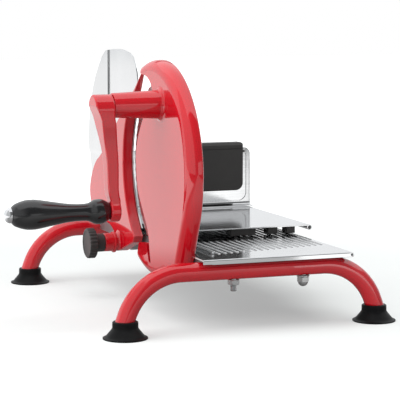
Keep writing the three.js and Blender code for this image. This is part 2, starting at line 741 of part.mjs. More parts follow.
function gearLid() {
  const far = caseEdge.slice(0, -1).map(([y, z]) => [y - 1, z]);
  const near = arcPoints(bladeAxisY, bladeAxisZ, rimInnerRadius - 1, 1.5 * Math.PI, 0.6 * Math.PI, 40);
  const sheetShape = prismX(outline([...curvePoints(far, 20), ...near]), lidBack, lidFront);
  const bushSeat = rodX(hubNeckRadius + lidBushWall + seatGap, lidBack - 1, lidFront + 1, bladeAxisY, bladeAxisZ, 32);
  const pinHole = rodX(idlerPinRadius + seatGap, lidBack - 1, lidFront + 1, idlerY, idlerZ, 16);
  const screwHoles = lidScrewPlaces.map(([y, z]) =>
    rodX(lidScrewRadius + seatGap, lidBack - 1, lidFront + 1, y, z, 12));
  return cut(sheetShape, bushSeat, pinHole, ...screwHoles);
}

piece('gear_lid', gearLid(), zincSteel);

lidScrewPlaces.forEach(([y, z], i) => piece(`lid_screw_${i + 1}`, join(
  rodX(lidScrewRadius, lidFront - lidScrewDepth, lidFront + seatGap + 0.5, y, z, 12),
  rodX(lidHeadRadius, lidFront + seatGap, lidFront + seatGap + lidHeadHeight, y, z, 16)), zincSteel));

piece('idler_pin', rodX(idlerPinRadius, chamberBack - pinSeat + seatGap, lidFront, idlerY, idlerZ, 20), zincSteel);

const idlerShape = prismX(gearOutline(idlerTeeth, idlerPhase, idlerY, idlerZ), gearBack, gearFront);
piece('idler_gear', cut(idlerShape,
  rodX(idlerPinRadius + runGap, gearBack - 1, gearFront + 1, idlerY, idlerZ)), whiteNylon);

// Blade, its hub with the pinion, axle, bush and screw

const axleEnd = gearFront - seatGap;
piece('blade_axle', rodX(axleRadius, chamberBack - pinSeat + seatGap, axleEnd, bladeAxisY, bladeAxisZ), zincSteel);

const lidBushBack = gearFront + fitGap;
const lidBushFront = lidFront + seatGap;
piece('blade_bush', ringX(hubNeckRadius + runGap, hubNeckRadius + lidBushWall, lidBushBack, lidBushFront,
  bladeAxisY, bladeAxisZ, 36), bronze);

const hubFlangeBack = bladeBack - seatGap - hubFlangeThickness;
const axleBoreEnd = axleEnd + fitGap;

function bladeHub() {
  const pinion = prismX(gearOutline(pinionTeeth, pinionPhase, bladeAxisY, bladeAxisZ), gearBack, gearFront);
  const neck = rodX(hubNeckRadius, gearFront - 1, hubFlangeBack + 1, bladeAxisY, bladeAxisZ, 36);
  const flange = rodX(hubFlangeRadius, hubFlangeBack, bladeBack - seatGap, bladeAxisY, bladeAxisZ, 36);
  const spigot = rodX(bladeHoleRadius - seatGap, bladeBack - 1, bladeFront - fitGap, bladeAxisY, bladeAxisZ, 32);
  const axleBore = rodX(axleRadius + runGap, gearBack - 1, axleBoreEnd, bladeAxisY, bladeAxisZ);
  const screwBore = rodX(bladeScrewShank + seatGap, axleBoreEnd + 1, bladeFront + 1, bladeAxisY, bladeAxisZ, 16);
  return cut(join(pinion, neck, flange, spigot), axleBore, screwBore);
}

piece('blade_hub', bladeHub(), zincSteel);

function bladeDisc() {
  const inner = bladeRadius - bladeBevel;
  const profile = [[0, bladeBack], [inner, bladeBack], [bladeRadius + 1, bladeFront - 0.2],
    [bladeRadius + 1, bladeFront], [0, bladeFront]];
  const disc = lathe('x', [0, bladeAxisY, bladeAxisZ], profile, 60);
  const steps = bladeTeeth * 3;
  const edge = Array.from({ length: steps }, (_, i) => {
    const angle = (2 * Math.PI * i) / steps;
    const r = bladeRadius - (bladeToothDepth * (1 - Math.cos(bladeTeeth * angle))) / 2;
    return [bladeAxisY + r * Math.cos(angle), bladeAxisZ + r * Math.sin(angle)];
  });
  const serrated = disc.intersect(prismX(outline(edge), bladeBack - 1, bladeFront + 1));
  return cut(serrated, rodX(bladeHoleRadius, bladeBack - 1, bladeFront + 1, bladeAxisY, bladeAxisZ, 32));
}

piece('blade', bladeDisc(), bladeSteel);

function bladeScrew() {
  const headBack = bladeFront + seatGap;
  const headFront = headBack + bladeScrewHead;
  const head = lathe('x', [0, bladeAxisY, bladeAxisZ], [[0, headBack], [bladeScrewRadius, headBack],
    [bladeScrewRadius, headBack + bladeScrewHead / 3], [bladeScrewRadius - 3, headFront], [0, headFront]], 36);
  const shank = rodX(bladeScrewShank, axleBoreEnd + 1 + seatGap, headBack + 0.5, bladeAxisY, bladeAxisZ, 16);
  const slot = box(headFront - 0.8, headFront + 1, bladeAxisY - 1, bladeAxisY + 1,
    bladeAxisZ - bladeScrewRadius, bladeAxisZ + bladeScrewRadius);
  return cut(join(head, shank), slot);
}

piece('blade_screw', bladeScrew(), polished);

// Crank: gear, shaft, bushes, arm, handle bolt and grip

const innerBushFront = chamberBack - seatGap;
piece('crank_bush_inner', ringX(shaftRadius + runGap, bushOuterRadius, innerBushFront - bushLength, innerBushFront,
  crankAxisY, crankAxisZ), bronze);
piece('crank_bush_outer', ringX(shaftRadius + runGap, bushOuterRadius, bearingEnd, bearingEnd + bushLength,
  crankAxisY, crankAxisZ), bronze);

const hubFront = bearingEnd - fitGap;
const hubBack = hubFront - hubThickness;
const shaftBack = hubFront - 0.7 * hubThickness;
piece('crank_shaft', rodX(shaftRadius, shaftBack, gearFront, crankAxisY, crankAxisZ), zincSteel);

const crankGearShape = prismX(gearOutline(crankTeeth, crankPhase, crankAxisY, crankAxisZ), gearBack, gearFront);
piece('crank_gear', cut(crankGearShape,
  rodX(shaftRadius + seatGap, gearBack - 1, gearFront + 1, crankAxisY, crankAxisZ)), whiteNylon);

const bossZ = crankAxisZ - crankRadius;

function crankArm() {
  const front = new THREE.Shape(); // seen along X
  front.absarc(crankAxisY, crankAxisZ, hubRadius, 0, Math.PI);
  front.lineTo(crankAxisY - hubRadius + 1, crankAxisZ - 14);
  front.lineTo(crankAxisY - armHalfWidth - 1, crankAxisZ - 36);
  front.lineTo(crankAxisY - armHalfWidth, crankAxisZ - 50);
  front.lineTo(crankAxisY - armHalfWidth, bossZ + bossRadius);
  front.absarc(crankAxisY, bossZ, bossRadius, 0.75 * Math.PI, 2.25 * Math.PI);
  front.lineTo(crankAxisY + armHalfWidth, bossZ + bossRadius);
  front.lineTo(crankAxisY + armHalfWidth, crankAxisZ - 50);
  front.lineTo(crankAxisY + armHalfWidth + 1, crankAxisZ - 36);
  front.lineTo(crankAxisY + hubRadius - 1, crankAxisZ - 14);
  const outer = curvePoints([[hubBack, crankAxisZ], [hubBack + 4.3, crankAxisZ - 10], [hubBack + 6.6, crankAxisZ - 21],
    [bossBack - 3.8, crankAxisZ - 49], [bossBack - 2.5, bossZ + 20], [bossBack, bossZ + bossRadius]], 12);
  const inner = curvePoints([[bossFront, bossZ + bossRadius], [bossFront - 1.6, bossZ + 20],
    [bossFront - 1.8, crankAxisZ - 49], [hubFront + 1.8, crankAxisZ - 21], [hubFront, crankAxisZ - 11]], 10);
  const side = outline([[hubBack, crankAxisZ + hubRadius + 1], ...outer, [bossBack, bossZ - bossRadius - 1],
    [bossFront, bossZ - bossRadius - 1], ...inner, [hubFront, crankAxisZ + hubRadius + 1]]);
  const arm = prismX(front, hubBack - 1, bossFront + 1, 14).intersect(
    prismY(side, crankAxisY - 2 * hubRadius, crankAxisY + 2 * hubRadius));
  const shaftBore = rodX(shaftRadius + seatGap, shaftBack - seatGap, hubFront + 1, crankAxisY, crankAxisZ);
  const boltBore = rodX(handleBoltRadius + seatGap, bossBack - 1, bossFront + 1, crankAxisY, bossZ);
  return cut(arm, shaftBore, boltBore, setScrewRoom());
}

const setScrewX = hubFront - hubThickness / 2;

function setScrewRoom() {
  const room = new THREE.CylinderGeometry(setScrewRadius + seatGap, setScrewRadius + seatGap, hubRadius + 2, 12);
  room.translate(setScrewX, crankAxisY + (hubRadius + 2) / 2, crankAxisZ);
  return toSolid(room);
}

function setScrew() {
  const length = hubRadius - shaftRadius - 1.5;
  const body = new THREE.CylinderGeometry(setScrewRadius, setScrewRadius, length, 12);
  body.translate(setScrewX, crankAxisY + shaftRadius + seatGap + length / 2, crankAxisZ);
  return toSolid(body);
}

piece('crank_arm', crankArm(), redPaint);
piece('crank_set_screw', setScrew(), zincSteel);

const gripFront = bossBack - fitGap;
const gripBack = gripFront - gripLength;

function handleGrip() {
  const along = (share) => gripFront - share * gripLength;
  const curve = curvePoints([[gripNeckRadius, along(0)], [gripBallRadius, along(0.07)], [gripBallRadius, along(0.145)],
    [gripNeckRadius + 0.5, along(0.215)], [gripNeckRadius, along(0.31)], [gripNeckRadius + 0.8, along(0.43)],
    [gripNeckRadius + 3.2, along(0.59)], [gripMaxRadius - 0.4, along(0.73)], [gripMaxRadius, along(0.8)],
    [gripMaxRadius - 0.6, along(0.87)], [gripMaxRadius - 3.4, along(0.96)], [handleCapRadius, along(1)]], 18);
  const profile = [[0, gripFront], ...curve, [0, gripBack]];
  const bore = rodX(handleBoltRadius + runGap, gripBack - 1, gripFront + 1, crankAxisY, bossZ);
  return cut(lathe('x', [0, crankAxisY, bossZ], profile, 20), bore);
}

piece('handle_grip', handleGrip(), blackGloss);

function handleBolt() {
  const capBack = gripBack - seatGap - handleCapLength;
  const dome = arcPoints(0, gripBack - seatGap - 1, 1, -Math.PI / 2, 0, 5)
    .map(([r, h]) => [Math.max(r, 0) * handleCapRadius, gripBack - seatGap - 1 + (h - gripBack + seatGap + 1) *
      (handleCapLength - 1)]);
  const cap = lathe('x', [0, crankAxisY, bossZ], [[0, capBack], ...dome.slice(1),
    [handleCapRadius, gripBack - seatGap], [0, gripBack - seatGap]], 28);
  return join(cap, rodX(handleBoltRadius, gripBack - 1, bossFront - seatGap, crankAxisY, bossZ));
}

piece('handle_bolt', handleBolt(), chrome);

// Slice guide: carrier, stop plate, spindle, guide pin and knob

// Far side of the carrier, from its upper tip round the lobe to the sleeve.
const carrierFarSide = fromAxis([[0.503, 0.845], [0.635, 0.679], [0.85, 0.513], [1.143, 0.317], [1.572, 0.024],
  [1.758, -0.073], [1.865, -0.166], [1.943, -0.269], [1.982, -0.386], [1.943, -0.513], [1.787, -0.6],
  [1.553, -0.649], [1.299, -0.679], [1.162, -0.747]]);
const carrierTip = fromAxis([[0.596, 0.679]]);
const carrierHeel = fromAxis([[0.596, -0.757]]);

const stopScrewPlaces = fromAxis(stopScrewShares);

function plateCarrier() {
  const sleeveArc = arcPoints(spindleY, spindleZ, sleeveRadius, 0, -0.6 * Math.PI, 8);
  const nearArc = arcPoints(bladeAxisY, bladeAxisZ, carrierEdgeRadius, -0.285 * Math.PI, 0.24 * Math.PI, 30);
  const shape = outline([...curvePoints(carrierFarSide, 40), ...sleeveArc, ...carrierHeel, ...nearArc,
    ...carrierTip].reverse());
  const web = prismX(shape, carrierBack, carrierFront);
  const sleeve = rodX(sleeveRadius, sleeveEnd, carrierBack + 1, spindleY, spindleZ, 28);
  const collar = rodX(sleeveCollarRadius, sleeveCollarPlace - sleeveCollarWidth / 2,
    sleeveCollarPlace + sleeveCollarWidth / 2, spindleY, spindleZ, 28);
  const bore = rodX(spindleRadius + sleeveBushWall + seatGap, sleeveEnd - 1, carrierFront + 1, spindleY, spindleZ);
  const pinBore = rodX(guidePinRadius + seatGap, carrierBack + pinCover, carrierFront + 1, guidePinY, guidePinZ);
  const screws = stopScrewPlaces.map(([y, z]) =>
    rodX(stopScrewRadius + seatGap, carrierFront - stopScrewDepth - seatGap, carrierFront + 1, y, z, 12));
  const bendRoom = box(0, rimRadius, 0, rimRadius, 0, 3 * rimRadius)
    .rotate([0, 0, THREE.MathUtils.radToDeg(stopCreaseAngle)]).translate([carrierFront, stopCreaseY, 0]);
  const tipZ = carrierFarSide[0][1];
  const tipTaper = outline([[carrierBack - 1, tipZ - tipTaperLength], [carrierBack, tipZ - tipTaperLength],
    [carrierFront - tipThickness, tipZ], [carrierFront - tipThickness, tipZ + 1], [carrierBack - 1, tipZ + 1]]);
  const taper = prismY(tipTaper, bladeAxisY, bladeAxisY + 2 * rimRadius);
  return cut(join(web, sleeve, collar), bore, pinBore, bendRoom, taper, ...screws);
}

piece('plate_carrier', plateCarrier(), redPaint);

piece('sleeve_bush', ringX(spindleRadius + runGap, spindleRadius + sleeveBushWall, carrierFront - sleeveBushLength,
  carrierFront, spindleY, spindleZ), bronze);

const stopDiscRadius = stopDiscShare * rimRadius;
const [[stopDiscY, stopDiscZ]] = fromAxis([stopDiscCentre]);
const stopBack = carrierFront + seatGap;
const stopFront = stopBack + stopThickness;

function stopPlate() {
  const nearArc = arcPoints(bladeAxisY, bladeAxisZ, stopEdgeRadius, -0.257 * Math.PI, 0.2 * Math.PI, 28);
  const topCurve = curvePoints(fromAxis([[0.71, 0.64], [0.724, 0.815], [0.772, 0.913], [0.864, 1.003],
    [1.025, 1.04], [1.23, 1.057], [1.523, 1.046], [1.67, 1.03]]), 16);
  const discArc = arcPoints(stopDiscY, stopDiscZ, stopDiscRadius, 0.29 * Math.PI, -0.235 * Math.PI, 30);
  const shape = outline([...nearArc, ...topCurve, ...discArc, [stopDiscY + 70, stopBottom]].reverse());
  const flat = prismX(shape, stopBack, stopFront);
  const far = box(stopBack - 1, stopFront + 1, stopCreaseY, stopCreaseY + stopDiscRadius,
    stopBottom - 1, stopDiscZ + stopDiscRadius);
  const bent = flat.intersect(far).translate([-stopFront, -stopCreaseY, 0])
    .rotate([0, 0, THREE.MathUtils.radToDeg(stopCreaseAngle)]).translate([stopFront, stopCreaseY, 0]);
  const countersinks = stopScrewPlaces.map(([y, z]) =>
    lathe('x', [0, y, z], [[0, stopBack - 1], [stopScrewRadius + seatGap, stopBack - 1],
      [stopScrewRadius + seatGap, stopBack], [stopHeadRadius + seatGap, stopFront],
      [stopHeadRadius + seatGap, stopFront + 1], [0, stopFront + 1]], 20));
  return cut(join(cut(flat, far), bent), ...countersinks);
}

piece('stop_plate', stopPlate(), polished);

stopScrewPlaces.forEach(([y, z], i) => piece(`stop_plate_screw_${i + 1}`, lathe('x', [0, y, z],
  [[0, carrierFront - stopScrewDepth], [stopScrewRadius, carrierFront - stopScrewDepth],
    [stopScrewRadius, stopBack], [stopHeadRadius - seatGap, stopFront - seatGap], [0, stopFront - seatGap]], 20),
polished));

const knobFront = sleeveEnd - fitGap;
const knobNeckBack = knobFront - knobNeckWidth;
const knobBack = knobNeckBack - knobWidth;
const insertBack = knobBack + knobCover;
const spindleEnd = insertBack + fitGap;
piece('guide_spindle', rodX(spindleRadius, spindleEnd, beamLeft + spindleDepth - seatGap, spindleY, spindleZ),
  zincSteel);
piece('guide_pin', rodX(guidePinRadius, carrierBack + pinCover + seatGap, beamWebRight + pinReach, guidePinY, guidePinZ,
  20), zincSteel);


function knobBody() {
  const steps = knobFlutes * 4;
  const rim = Array.from({ length: steps }, (_, i) => {
    const angle = (2 * Math.PI * i) / steps;
    const r = knobRadius - 0.5 + 0.5 * Math.cos(knobFlutes * angle);
    return [spindleY + r * Math.cos(angle), spindleZ + r * Math.sin(angle)];
  });
  const fluted = prismX(outline(rim), knobBack, knobNeckBack);
  const rounded = lathe('x', [0, spindleY, spindleZ], [[0, knobBack], [knobRadius - 1.5, knobBack],
    [knobRadius, knobBack + 1.5], [knobRadius, knobNeckBack - 1], [knobRadius - 1, knobNeckBack],
    [0, knobNeckBack]], 48);
  const neck = rodX(knobNeckRadius, knobNeckBack - 1, knobFront, spindleY, spindleZ, 28);
  const bore = rodX(spindleRadius + sleeveBushWall + seatGap, insertBack, knobFront + 1, spindleY, spindleZ);
  return cut(join(fluted.intersect(rounded), neck), bore);
}

piece('slice_knob', knobBody(), blackPlastic);
piece('knob_insert', ringX(spindleRadius + runGap, spindleRadius + sleeveBushWall, insertBack + seatGap,
  carrierFront - sleeveBushLength - fitGap, spindleY, spindleZ), bronze);

// Food carriage

function carriagePlate() {
  const top = box(carriageLeft, carriageRight - carriageHem, carriageNear, carriageFar, carriageTop - sheet,
    carriageTop);
  const hem = new THREE.CylinderGeometry(carriageHem, carriageHem, carriageFar - carriageNear, 20);
  hem.translate(carriageRight - carriageHem, (carriageNear + carriageFar) / 2, carriageTop - carriageHem);
  return join(top, toSolid(hem));
}

piece('carriage_plate', carriagePlate(), polished);

const railTop = plateTop + seatGap + railHeight;
const railRoom = box(railLeft - slideGap, railLeft + railWidth + slideGap, carriageNear - 1, carriageFar + 1,
  glideBottom - 1, railTop + slideGap);
const runnerMiddle = railLeft + railWidth / 2;
const glideNear = carriageNear + 2;
const glideFar = carriageFar - 6;

piece('left_runner', cut(box(runnerMiddle - runnerWidth / 2, runnerMiddle + runnerWidth / 2, glideNear, glideFar,
  glideBottom, glideTop), railRoom), blackPlastic);
for (const [place, left, right] of frontGlides) {
  piece(`${place}_glide`, box(left, right, glideNear, glideNear + glideLength, glideBottom, glideTop), blackPlastic);
}
piece('rear_glide', box(rearGlideLeft, rearGlideRight, glideFar - glideLength, glideFar, glideBottom, glideTop),
  blackPlastic);

const railNear = -plateLength / 2 + ribEndMargin;
piece('slide_rail', box(railLeft, railLeft + railWidth, railNear, -railNear, plateTop + seatGap, railTop), polished);

// The wall's profile in (y, z): a foot on the carriage, a bend and the upright sheet.
function backWall() {
  const bottom = carriageTop + seatGap;
  const inner = wallBend - wallThickness;
  const bendY = wallFar - wallBend;
  const bendZ = bottom + wallBend;
  const profile = outline([[bendY - wallFoot, bottom], ...arcPoints(bendY, bendZ, wallBend, -Math.PI / 2, 0, 6),
    [wallFar, wallTop], [wallNear, wallTop], ...arcPoints(bendY, bendZ, inner, 0, -Math.PI / 2, 6),
    [bendY - wallFoot, bottom + wallThickness]]);
  const face = new THREE.Shape();
  face.moveTo(wallLeft, bottom - 1);
  face.lineTo(wallRight, bottom - 1);
  face.lineTo(wallRight, wallTop - wallCorner);
  face.quadraticCurveTo(wallRight, wallTop, wallRight - wallCorner, wallTop);
  face.lineTo(wallLeft, wallTop);
  const bentSheet = prismX(profile, wallLeft, wallRight).intersect(prismY(face, wallNear - 2 * wallBend, wallFar + 1));
  const flange = box(wallRight - wallThickness, wallRight, wallNear, wallFar + wallFlange, bendZ, wallFlangeTop);
  const pinHole = box(stopPinX - stopPinRadius - seatGap, stopPinX + stopPinRadius + seatGap, wallNear - 1,
    wallFar + 1, stopPinZ - stopPinRadius - seatGap, stopPinZ + stopPinRadius + seatGap);
  return cut(join(bentSheet, flange), pinHole);
}

const stopPinX = padRight + stopPinRadius + 2;
const stopPinZ = wallTop - 4;
piece('back_wall', backWall(), polished);

piece('wall_strip', box(wallLeft, stripRight, wallFar + seatGap, wallFar + seatGap + stripDepth,
  carriageTop + seatGap, carriageTop + seatGap + stripHeight), blackPlastic);

const stopPin = new THREE.CylinderGeometry(stopPinRadius, stopPinRadius, wallThickness + 4, 16);
stopPin.translate(stopPinX, (wallNear + wallFar) / 2, stopPinZ);
piece('wall_stop_pin', toSolid(stopPin), blackPlastic);

// Food pusher

function foodPusher() {
  const face = new THREE.Shape();
  face.moveTo(padLeft + padCorner, padBottom);
  face.lineTo(padRight - padCorner, padBottom);
  face.absarc(padRight - padCorner, padBottom + padCorner, padCorner, -Math.PI / 2, 0);
  face.lineTo(padRight, padTop - 3);
  face.lineTo(padRight - 2.5, padTop);
  face.lineTo(padLeft + 2.5, padTop);
  face.lineTo(padLeft, padTop - 3);
  face.absarc(padLeft + padCorner, padBottom + padCorner, padCorner, Math.PI, 1.5 * Math.PI);
  const padNear = wallNear - slideGap - padThickness;
  const hookFar = wallFar + slideGap + hookThickness;
  const blockShape = prismY(face, padNear, hookFar);
  const wallRoom = box(padLeft - 1, padRight + 1, wallNear - slideGap, wallFar + slideGap, padBottom - 1,
    wallTop + slideGap);
  const backRoom = box(padLeft - 1, padRight + 1, wallNear - slideGap, hookFar + 1, padBottom - 1,
    wallTop - hookDrop);
  const bevel = outline([[padNear - 1, padTop - 4], [padNear - 1, padTop + 1], [padNear + 3, padTop + 1]]);
  return cut(blockShape, wallRoom, backRoom, prismX(bevel, padLeft - 1, padRight + 1));
}

piece('food_pusher', foodPusher(), blackPlastic);

// The origin is on the floor, under the centre of the whole object.
const extent = new THREE.Box3().setFromObject(machine);
const middle = extent.getCenter(new THREE.Vector3());
machine.position.set(-middle.x, -middle.y, -extent.min.z);

export default slicer;
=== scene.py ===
"""Hand crank meat slicer: smooth pieces, finishes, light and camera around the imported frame.

Lengths are millimetres in the machine's own frame, with x to the right, y to the back and z up.
place() turns them into metres in the row's frame.
"""

import json
from math import acos, atan2, cos, dist, hypot, pi, radians, sin, sqrt, tan

import bmesh
import bpy
import numpy as np
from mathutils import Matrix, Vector


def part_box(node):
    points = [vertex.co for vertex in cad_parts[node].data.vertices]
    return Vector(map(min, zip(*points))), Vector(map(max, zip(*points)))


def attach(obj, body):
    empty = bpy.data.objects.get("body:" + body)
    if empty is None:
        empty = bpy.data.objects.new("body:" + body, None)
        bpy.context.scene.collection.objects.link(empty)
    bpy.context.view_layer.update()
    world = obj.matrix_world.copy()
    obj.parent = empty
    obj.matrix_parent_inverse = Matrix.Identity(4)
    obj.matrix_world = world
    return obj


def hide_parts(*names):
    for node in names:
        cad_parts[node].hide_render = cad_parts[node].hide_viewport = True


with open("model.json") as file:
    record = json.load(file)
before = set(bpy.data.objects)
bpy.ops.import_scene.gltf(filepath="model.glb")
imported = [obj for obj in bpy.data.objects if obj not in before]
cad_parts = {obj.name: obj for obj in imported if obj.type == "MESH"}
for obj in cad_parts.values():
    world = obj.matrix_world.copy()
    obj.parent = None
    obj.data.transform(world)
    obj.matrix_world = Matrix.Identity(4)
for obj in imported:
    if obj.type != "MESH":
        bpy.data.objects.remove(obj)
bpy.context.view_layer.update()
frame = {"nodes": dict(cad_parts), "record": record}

MM = 0.001
GAP = 0.1  # between pieces that lie on each other
FIT = 0.3  # between pieces that move in each other
PAST = 1  # how far a cutting tool stands out of what it cuts
WELD = 1e-7  # metres: points closer than this are one
BLADE_BACK = -49.5
AXIS = (-57, 137.5)  # the blade's axle, in y and z
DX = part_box("blade")[0].x / MM - BLADE_BACK

NODE_BODY = {n: b for b, ns in frame["record"]["behaviour"]["bodies"].items() for n in ns}
scene = bpy.context.scene


def place(p):
    return ((p[0] + DX) * MM, p[1] * MM, p[2] * MM)


# ------------ outlines

STRAIGHT = 0.05  # radians: a corner this close to straight, or to folded back, stays as it is
EDGE_SHARE = 0.48  # the most of an edge that one rounded corner may take
LEAST_LEAN = 0.45  # keeps sharp corners from running away when an outline is inset


def evenly(start, end, steps):
    return [start + (end - start) * i / steps for i in range(steps + 1)]


def arc(cu, cv, radius, start, end, steps):
    return [(cu + radius * cos(a), cv + radius * sin(a)) for a in evenly(start, end, steps)]


def spline(points, steps):
    """Catmull-Rom through the points, evenly stepped in its parameter."""
    pts = [np.array(p, float) for p in points]
    last = len(pts) - 1
    out = []
    for k in range(steps + 1):
        t = last * k / steps
        i = min(int(t), last - 1)
        w = t - i
        p1, p2 = pts[i], pts[i + 1]
        p0 = pts[i - 1] if i > 0 else p1
        p3 = pts[i + 2] if i + 2 <= last else p2
        v0, v1 = (p2 - p0) / 2, (p3 - p1) / 2
        cubic, square = 2 * p1 - 2 * p2 + v0 + v1, -3 * p1 + 3 * p2 - 2 * v0 - v1
        q = cubic * w ** 3 + square * w ** 2 + v0 * w + p1
        out.append((q[0], q[1]))
    return out


def soften(points, radii, steps=6):
    """The corners of a polygon turned into arcs. A radius of 0 keeps a corner."""
    pts = [np.array(p, float) for p in points]
    n = len(pts)
    if not hasattr(radii, "__len__"):
        radii = [radii] * n
    out = []
    for i, r in enumerate(radii):
        angle = 0
        if r > 0:
            a, b = pts[i - 1] - pts[i], pts[(i + 1) % n] - pts[i]
            la, lb = np.linalg.norm(a), np.linalg.norm(b)
            a, b = a / la, b / lb
            angle = acos(max(-1, min(1, float(a @ b))))
        if angle > pi - STRAIGHT or angle < STRAIGHT:
            out.append(tuple(pts[i]))
            continue
        reach = min(r / tan(angle / 2), EDGE_SHARE * la, EDGE_SHARE * lb)
        r = reach * tan(angle / 2)
        mid = (a + b) / np.linalg.norm(a + b)
        centre = pts[i] + mid * (r / sin(angle / 2))
        s = pts[i] + a * reach - centre
        e = pts[i] + b * reach - centre
        start, end = atan2(s[1], s[0]), atan2(e[1], e[0])
        turn = (end - start + pi) % (2 * pi) - pi
        out += arc(*centre, r, start, start + turn, steps)
    return out


def area(points):
    p = np.array(points)
    q = np.roll(p, -1, 0)
    return float((p[:, 0] * q[:, 1] - q[:, 0] * p[:, 1]).sum() / 2)


def inset(points, reach):
    """A counter-clockwise outline moved inwards, vertex by vertex."""
    p = np.array(points, float)
    if not reach:
        return p
    d = np.roll(p, -1, 0) - p
    d /= np.linalg.norm(d, axis=1)[:, None]
    normal = np.stack([-d[:, 1], d[:, 0]], 1)
    mean = normal + np.roll(normal, 1, 0)
    mean /= np.linalg.norm(mean, axis=1)[:, None]
    lean = np.maximum((mean * normal).sum(1), LEAST_LEAN)
    return p + mean * (reach / lean)[:, None]


def edge_steps(radius, steps):
    """Steps (inwards, back from the end) down a rounded edge, from the end face to the side."""
    if not radius:
        return [(0.0, 0.0)]
    return [(radius * (1 - cos(t)), radius * (1 - sin(t))) for t in evenly(pi / 2, 0, steps)]


def hexagon(u, v, radius):
    return [(u + radius * cos(pi / 3 * k), v + radius * sin(pi / 3 * k)) for k in range(6)]


# ------------ solids

def raw(points, faces):
    """A loose closed object from points in millimetres."""
    mesh = bpy.data.meshes.new("raw")
    mesh.from_pydata([place(p) for p in points], [], faces)
    bm = bmesh.new()
    bm.from_mesh(mesh)
    bmesh.ops.remove_doubles(bm, verts=bm.verts, dist=WELD)
    bmesh.ops.recalc_face_normals(bm, faces=bm.faces)
    bm.to_mesh(mesh)
    bm.free()
    obj = bpy.data.objects.new("raw", mesh)
    scene.collection.objects.link(obj)
    return obj


def stand(axis, u, v, w):
    """The point w along the axis, with u and v along the other two in their order."""
    return {"x": (w, u, v), "y": (u, w, v), "z": (u, v, w)}[axis]


def lathe(axis, centre, profile, segments=96, wave=None):
    """profile is [(radius, height)]. It closes on the axis, or on itself where it has a hole."""
    points, rings = [], []
    for r, h in profile:
        first = len(points)
        for k in range(1 if r == 0 else segments):
            a = 2 * pi * k / segments
            reach = wave(r, a) if wave and r else r
            u, v = centre[0] + reach * cos(a), centre[1] + reach * sin(a)
            points.append(stand(axis, u, v, h))
        rings.append(list(range(first, len(points))))
    pairs = list(zip(rings, rings[1:]))
    if profile[0][0] or profile[-1][0]:
        pairs.append((rings[-1], rings[0]))
    faces = []
    for a, b in pairs:
        if len(a) == 1 and len(b) == 1:
            continue
        for k in range(segments):
            n = (k + 1) % segments
            face = [a[k % len(a)], b[k % len(b)], b[n % len(b)], a[n % len(a)]]
            faces.append(list(dict.fromkeys(face)))
    return raw(points, faces)


def bands(pairs, n):
    """Quads between pairs of loops that have n points each."""
    return [[a * n + i, a * n + (i + 1) % n, b * n + (i + 1) % n, b * n + i]
            for a, b in pairs for i in range(n)]


def loft(loops, caps=None):
    """Equal loops joined in their order, with a flat cap at each end unless caps are given."""
    n, last = len(loops[0]), len(loops) - 1
    caps = caps or [list(range(n))[::-1], [last * n + i for i in range(n)]]
    walls = bands([(k, k + 1) for k in range(last)], n)
    return raw([p for loop in loops for p in loop], walls + caps)


def turned(axis, centre, corners, radii, steps, segments):
    return lathe(axis, centre, soften(corners, radii, steps), segments)


def rod(axis, radius, h0, h1, centre, edge=0.3, segments=48, steps=3):
    edge = min(edge, radius * 0.4, abs(h1 - h0) * 0.4)
    corners = [(0, h0), (radius, h0), (radius, h1), (0, h1)]
    return turned(axis, centre, corners, [0, edge, edge, 0], steps, segments)


def ring(axis, inner, outer, h0, h1, centre):
    corners = [(inner, h0), (outer, h0), (outer, h1), (inner, h1)]
    return turned(axis, centre, corners, min(0.25, (outer - inner) * 0.3), 2, 48)


def slab(axis, points, w0, w1, low=0.0, high=None, steps=4):
    """An outline pushed along an axis, with rounded edges of radius low and high at its ends."""
    high = low if high is None else high
    pts = list(points) if area(points) > 0 else list(points)[::-1]
    levels = [(reach, w0 + back) for reach, back in edge_steps(low, steps)]
    levels += [(reach, w1 - back) for reach, back in reversed(edge_steps(high, steps))]
    return loft([[stand(axis, u, v, w) for u, v in inset(pts, reach)] for reach, w in levels])


def block(x0, x1, y0, y1, z0, z1, edge=0.4):
    """A box with all its edges rounded."""
    outline = soften([(x0, y0), (x1, y0), (x1, y1), (x0, y1)], edge, 3)
    return slab("z", outline, z0, z1, edge, edge, 3)


def apply_modifiers(obj):
    graph = bpy.context.evaluated_depsgraph_get()
    made, spent = bpy.data.meshes.new_from_object(obj.evaluated_get(graph)), obj.data
    obj.modifiers.clear()
    obj.data = made
    bpy.data.meshes.remove(spent)


def combine(whole, how, tools):
    """One boolean after another. The tools are used up."""
    for tool in tools:
        mod = whole.modifiers.new("bool", "BOOLEAN")
        mod.operation = how
        mod.solver = "MANIFOLD"
        mod.object = tool
    apply_modifiers(whole)
    for tool in tools:
        mesh = tool.data
        bpy.data.objects.remove(tool)
        bpy.data.meshes.remove(mesh)
    return whole


def join(whole, *tools):
    return combine(whole, "UNION", tools)


def cut(whole, *tools):
    return combine(whole, "DIFFERENCE", tools)


def meet(whole, *tools):
    return combine(whole, "INTERSECT", tools)


def driver_slot(screw, face, depth, centre):
    """A screwdriver slot across the face of a screw that points along x."""
    (y, z), half = centre, 0.4
    return cut(screw, block(face - depth, face + PAST, y - 4, y + 4, z - half, z + half, 0))


def rolled_edge(sheets, x, top, radius, near, far, bore, depth):
    """Joins sheets to a rolled right edge, which is hollow at its ends."""
    centre = (x, top - radius)
    whole = join(*sheets, rod("y", radius, near, far, centre, 0.3, 40))
    return cut(whole, *[rod("y", bore, y - depth, y + depth, centre, 0) for y in (near, far)])


def warp(obj, move):
    """Moves each vertex by a rule given in machine millimetres."""
    for v in obj.data.vertices:
        v.co = place(move(v.co.x / MM - DX, v.co.y / MM, v.co.z / MM))
    obj.data.update()
    return obj


